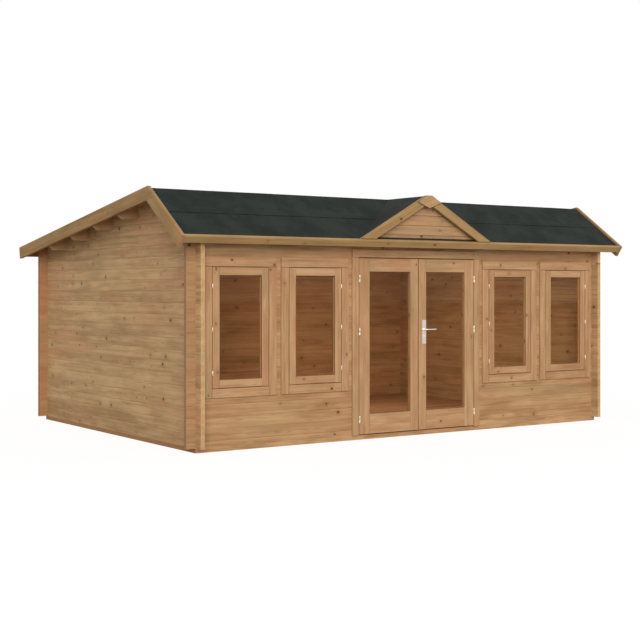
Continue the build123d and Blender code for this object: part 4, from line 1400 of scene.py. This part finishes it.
@dataclass(frozen=True)
class Doors(Joinery):
    """Frame, threshold, two glazed leaves, their hinges, and the handle on the right leaf."""

    gap: float = 0.005
    meeting: float = 0.008
    width: float = 0.7675
    thickness: float = 0.040
    bottom: float = 0.055
    top: float = 1.865
    head_gap: float = 0.008
    casing: float = 0.080
    stop_depth: float = 0.017
    hinge_stile: float = 0.139
    meeting_stile: float = 0.110
    top_rail: float = 0.145
    bottom_rail: float = 0.213
    round_edge: float = 0.004
    hinge_heights: tuple[float, ...] = (0.205, 1.105, 1.650)
    hinge_length: float = 0.080
    hinge_arris: float = 0.0006
    stem: Span = (0.009, 0.014)
    stem_play: float = 0.0005
    stem_arris: float = 0.0015
    knuckle: float = 0.007
    knuckle_gap: float = 0.001
    pin: float = 0.0035
    pin_foot: float = 0.004
    pin_rise: float = 0.0295
    backset: float = 0.075
    handle: float = 1.117
    handle_plate: tuple[float, float, float] = (0.050, 0.254, 0.003)
    plate_corner: float = 0.006
    above: float = 0.102
    screw_inset: float = 0.014
    screw_radius: float = 0.0042
    collar_height: float = 0.0032
    neck: float = 0.0092
    bend: float = 0.014
    grip_reach: float = 0.0413
    lever: float = 0.135
    grip: float = 0.008
    key_drop: float = 0.072

    @property
    def half_clear(self) -> float:
        """Half the width between the linings."""
        return self.meeting / 2 + self.width + self.gap

    @property
    def clear_top(self) -> float:
        """Underside of the frame's head."""
        return self.top + self.head_gap

    @property
    def pin_x(self) -> float:
        """Distance of the hinge pins from the middle."""
        return self.half_clear - self.gap

    @property
    def pin_y(self) -> float:
        """Place of the hinge pins in plan."""
        return SHELL.face - self.knuckle - self.knuckle_gap

    def build(self, finishes: Finishes) -> None:
        """Builds the frame, the leaves, the hinges and the handle."""
        self._frame(finishes)
        for side, name in ((-1, "left"), (1, "right")):
            self._leaf(finishes, side, name)
            caps = Piece(f"hinge_caps_{name}", 77 + side, self.hinge_arris)
            self._hinge_halves(caps, side, True)
            caps.make(finishes.hinge, f"{name}_door", [f"leaf_hinges_{name}"], SMOOTH)
        pins = Piece("hinge_pin_halves", 75, self.hinge_arris)
        for side in (-1, 1):
            self._hinge_halves(pins, side, False)
        pins.make(finishes.hinge, "cabin", ["door_hinge_pins"], SMOOTH)
        self._handle(finishes)

    def _frame(self, finishes: Finishes) -> None:
        """Builds casing, lining, stop and inner casing round the doorway."""
        s = SHELL
        clear = Opening(-self.half_clear, self.half_clear, s.bearer, self.clear_top)
        stop = clear.grown(-self.stop, foot=False)
        surround = Piece("door_surround", seed=71, arris=self.arris)
        outer, wide = (clear.grown(size, foot=False) for size in (self.casing, s.lining))
        self.frame_ring(surround, outer, clear, (s.face, s.front), self.round_edge)
        self.frame_ring(surround, wide, clear, (s.front, s.front_inside))
        self.frame_ring(surround, clear, stop, (s.front_inside - self.stop_depth, s.front_inside))
        inner = replace(stop, bottom=s.bearer + s.deck)
        depth = (s.front_inside, s.front_inside + self.inner)
        self.frame_ring(surround, inner.grown(self.inner_width, foot=False), inner, depth)
        surround.make(finishes.trim, "cabin", ["door_frame"])

    def _leaf(self, finishes: Finishes, side: int, name: str) -> None:
        """Builds one leaf on its body.

        Args:
            finishes: the cabin's finishes.
            side: -1 for the left leaf and 1 for the right one.
            name: left or right.
        """
        meet, hinge = side * self.meeting / 2, side * (self.meeting / 2 + self.width)
        near, far = meet + side * self.meeting_stile, hinge - side * self.hinge_stile
        outer = Opening(min(meet, hinge), max(meet, hinge), self.bottom, self.top)
        foot, head = self.bottom + self.bottom_rail, self.top - self.top_rail
        glass = Opening(min(near, far), max(near, far), foot, head)
        leaf = Piece(f"door_{name}_joinery", 73 + side, self.arris)
        self.leaf(leaf, outer, glass, (SHELL.face, SHELL.face + self.thickness), self.round_edge)
        leaf.make(finishes.trim, f"{name}_door", [f"door_leaf_{name}"])

    def _hinge_halves(self, piece: Piece, side: int, upper: bool) -> None:
        """Adds the halves of one leaf's hinges: a barrel with a rounded outer end, and a stem into the wood.

        Args:
            piece: the piece that they are added to.
            side: -1 at the left leaf and 1 at the right one.
            upper: the halves on the leaf; if not, those on the casing, with the pins.
        """
        half = (self.hinge_length - self.knuckle_gap) / 2
        x, r = side * self.pin_x, self.knuckle
        reach, tall = self.stem
        wood = -side if upper else side
        beside = tuple(sorted((x + wood * self.stem_play, x + wood * reach)))
        round_end = [(r * 0.5, 0.0), (r * 0.86, 0.0012), (r, 0.0035), (r, half - 0.0008), (r * 0.93, half)]
        if upper:
            round_end = [(radius, half - up) for radius, up in reversed(round_end)]
        pin = [(self.pin, half - self.pin_foot), (self.pin, half + self.pin_rise - 0.0025),
               (self.pin * 0.6, half + self.pin_rise)]
        for height in self.hinge_heights:
            low = height - self.hinge_length / 2 + (half + self.knuckle_gap) * upper
            piece.lathe(round_end, (x, self.pin_y, low), Run.ALONG_Z, 24)
            middle = low + half / 2
            span = (middle - tall / 2, middle + tall / 2)
            piece.bar(beside, (self.pin_y, SHELL.face), span, Run.ALONG_Z, self.stem_arris)
            if not upper:
                piece.lathe(pin, (x, self.pin_y, low), Run.ALONG_Z, 16)

    def _handle(self, finishes: Finishes) -> None:
        """Builds the plates with their screws and key barrel, and the two bent levers on their spindle."""
        x = self.meeting / 2 + self.backset
        wide, tall, thick = self.handle_plate
        centre = self.handle + self.above - tall / 2
        outline = self._plate(wide, tall) + (x, centre)
        key = [(0.0084, 0.0), (0.0084, 0.0042), (0.0076, 0.005), (0.003, 0.005), (0.0022, 0.0035)]
        collar = [(0.0155, 0.0), (0.0155, 0.0012), (0.0135, 0.0028), (0.0118, 0.0030)]
        plates = Piece("handle_backplates", seed=81, arris=0.0006)
        levers = Piece("lever_pair", seed=82)
        for side in (-1, 1):
            face = SHELL.face + (1 + side) / 2 * self.thickness
            proud = face + side * thick
            flip = side < 0
            plates.prism(outline, Plane.FRONT, *sorted((face, proud)), (0, 0, 1), (0, 1, 0), 0.0005)
            for up in (tall / 2 - self.screw_inset, self.screw_inset - tall / 2):
                self.screw(plates, x, proud, centre + up, self.screw_radius, flip)
            plates.lathe(key, (x, proud, self.handle - self.key_drop), Run.ALONG_Y, 24, flip)
            plates.lathe(collar, (x, proud, self.handle), Run.ALONG_Y, 28, flip)
            self._lever(levers, x, face, side)
        plates.make(finishes.steel, "right_door", ["handle_plates"], SMOOTH)
        levers.make(finishes.steel, "lever", ["door_lever"], SMOOTH_LEVER)

    def _plate(self, wide: float, tall: float) -> np.ndarray:
        """Outline of a plate round nought, with a quarter of a circle at each corner."""
        turn = np.linspace(0, pi / 2, 7)
        quarter = np.stack([np.cos(turn), np.sin(turn)], 1) * self.plate_corner
        parts = []
        for sx, sz in ((1, 1), (-1, 1), (-1, -1), (1, -1)):
            arc = quarter[:: 1 if sx * sz > 0 else -1] * (sx, sz)
            parts.append(arc + (sx * (wide / 2 - self.plate_corner), sz * (tall / 2 - self.plate_corner)))
        return np.concatenate(parts)

    def _lever(self, piece: Piece, x: float, face: float, side: int) -> None:
        """Adds one lever: a straight neck out of the plate, a quarter bend, and a grip with a rounded end.

        Args:
            piece: the piece that it is added to.
            x: place of the spindle.
            face: face of the leaf on this side.
            side: -1 in front of the leaf and 1 behind it.
        """
        bend, tip = self.bend, x + self.lever
        start = face + side * (self.handle_plate[2] + self.collar_height)
        level = face + side * self.grip_reach
        turn = np.linspace(0, pi / 2, 9)
        neck = np.stack([np.full(4, x), np.linspace(start, level - side * bend, 4)], 1)
        arc = np.stack([x + bend * (1 - np.cos(turn)), level - side * bend * (1 - np.sin(turn))], 1)[1:]
        far = np.array([*np.linspace(x + bend, tip - 0.004, 14)[1:], tip - 0.0015, tip])
        grip = np.stack([far, np.full(len(far), level)], 1)
        flat = np.concatenate([neck, arc, grip])
        path = np.concatenate([flat, np.full((len(flat), 1), self.handle)], 1)
        share = np.linspace(0, 1, len(path))
        thick = self.neck - (self.neck - self.grip) * np.clip(share * 3, 0, 1)
        thick[-2:] *= (0.8, 0.45)
        piece.sweep(path, thick, side > 0)

    def dress(self, finishes: Finishes) -> None:
        """Glazes the leaves and finishes the threshold strip."""
        dress("door_pane_left", finishes.glass)
        dress("door_pane_right", finishes.glass)
        # The threshold strip's dark metal is painted shade.
        dress("threshold_strip", finishes.strip_metal_shaded)


@dataclass(frozen=True)
class Studio:
    """Pale floor, soft light and the camera at the photograph's place."""

    eye: tuple[float, float, float] = (-8.271, -12.231, 1.558)
    heading: float = 0.5952
    sensor: float = 36.0
    lens: float = 70.14
    shift: float = -0.050
    white: Colour = (1.0, 1.0, 1.0)
    sky: float = 0.50
    sun: float = 2.3
    sun_spread: float = radians(50.0)
    sun_turn: tuple[float, float, float] = (radians(72.0), 0.0, radians(-30.0))
    room: float = 33.0
    room_colour: Colour = (1.0, 0.88, 0.82)
    room_size: float = 0.6
    room_place: tuple[float, float, float] = (0.9, 0.0, 1.15)
    floor_glow: float = 0.80
    floor_white: float = 1.11
    ground: Colour = (0.50, 0.48, 0.45)
    paper: Colour = (0.80, 0.80, 0.80)
    floor_radii: tuple[float, ...] = (4.0, 12.0, 40.0, 120.0)
    floor_sides: int = 64

    def build(self) -> None:
        """Builds the camera, the light and the floor."""
        scene = bpy.context.scene
        scene.view_settings.view_transform = "Standard"
        self._camera(scene)
        scene.world = self._sky()
        self._lamps()
        self._floor()

    def _camera(self, scene: bpy.types.Scene) -> None:
        """Sets a level camera, whose shift keeps the upright lines upright."""
        data = bpy.data.cameras.new("view")
        data.sensor_width = self.sensor
        data.lens = self.lens
        data.shift_y = self.shift
        camera = bpy.data.objects.new("view", data)
        camera.location = self.eye
        camera.rotation_euler = (pi / 2, 0.0, -self.heading)
        scene.collection.objects.link(camera)
        scene.camera = camera

    def _sky(self) -> bpy.types.World:
        """Builds an even sky that shows white to the camera, in mirrors and through glass."""
        net = Net("sky", True)
        kinds = ("Camera", "Glossy", "Transmission")
        rays = [net.node("ShaderNodeLightPath", None, None, f"Is {kind} Ray") for kind in kinds]
        share = rays[0].most(rays[1]).most(rays[2])
        values = {"Value": share, "To Min": self.sky, "To Max": 1.0}
        level = net.node("ShaderNodeMapRange", None, values, "Result")
        return net.finish(net.node("ShaderNodeBackground", None, {"Color": self.white, "Strength": level}))

    def _lamps(self) -> None:
        """Sets a wide soft sun from the front left, and a warm glow in the room, hidden from the camera."""
        sun = bpy.data.lights.new("soft_sun", "SUN")
        sun.energy = self.sun
        sun.angle = self.sun_spread
        glow = bpy.data.lights.new("room_glow", "POINT")
        glow.energy = self.room
        glow.color = self.room_colour
        glow.shadow_soft_size = self.room_size
        lamps = {data.name: bpy.data.objects.new(data.name, data) for data in (sun, glow)}
        lamps["soft_sun"].rotation_euler = self.sun_turn
        room = lamps["room_glow"]
        room.location = self.room_place
        room.visible_camera = False
        room.visible_glossy = False
        for lamp in lamps.values():
            bpy.context.scene.collection.objects.link(lamp)

    def _floor(self) -> None:
        """Lays a wide pale disc in rings, which is almost white to the camera but keeps the shadow."""
        turn = np.linspace(0, 2 * pi, self.floor_sides, endpoint=False)
        radii = np.array(self.floor_radii)
        rings = np.zeros((len(radii), self.floor_sides, 3))
        rings[:, :, 0] = radii[:, None] * np.cos(turn)
        rings[:, :, 1] = radii[:, None] * np.sin(turn)
        faces = [f[::-1] for f in ring_faces(len(radii), self.floor_sides, 0)]
        faces.append(tuple(range(self.floor_sides)))
        mesh = bpy.data.meshes.new("studio_floor")
        mesh.from_pydata(rings.reshape(-1, 3).tolist(), [], faces)
        net = Net("studio_paper")
        ray = net.node("ShaderNodeLightPath", None, None, "Is Camera Ray")
        paper = net.node("ShaderNodeBsdfDiffuse", None, {"Color": net.blend(ray, self.ground, self.paper)})
        glow = net.node("ShaderNodeEmission", None, {"Color": self.white, "Strength": self.floor_white})
        mix = net.node("ShaderNodeMixShader", None, {0: ray * self.floor_glow, 1: paper, 2: glow})
        mesh.materials.append(net.finish(mix))
        disc = bpy.data.objects.new("studio_floor", mesh)
        bpy.context.scene.collection.objects.link(disc)


def main() -> None:
    """Builds every sub-assembly in order."""
    logging.basicConfig(level=logging.INFO, format="%(message)s")
    finishes = Finishes()
    Studio().build()
    LogWalls().dress(finishes)
    for part in (Base(), Roof(), Gablet(), Windows(), Doors()):
        part.build(finishes)
        part.dress(finishes)


if __name__ == "__main__":
    main()
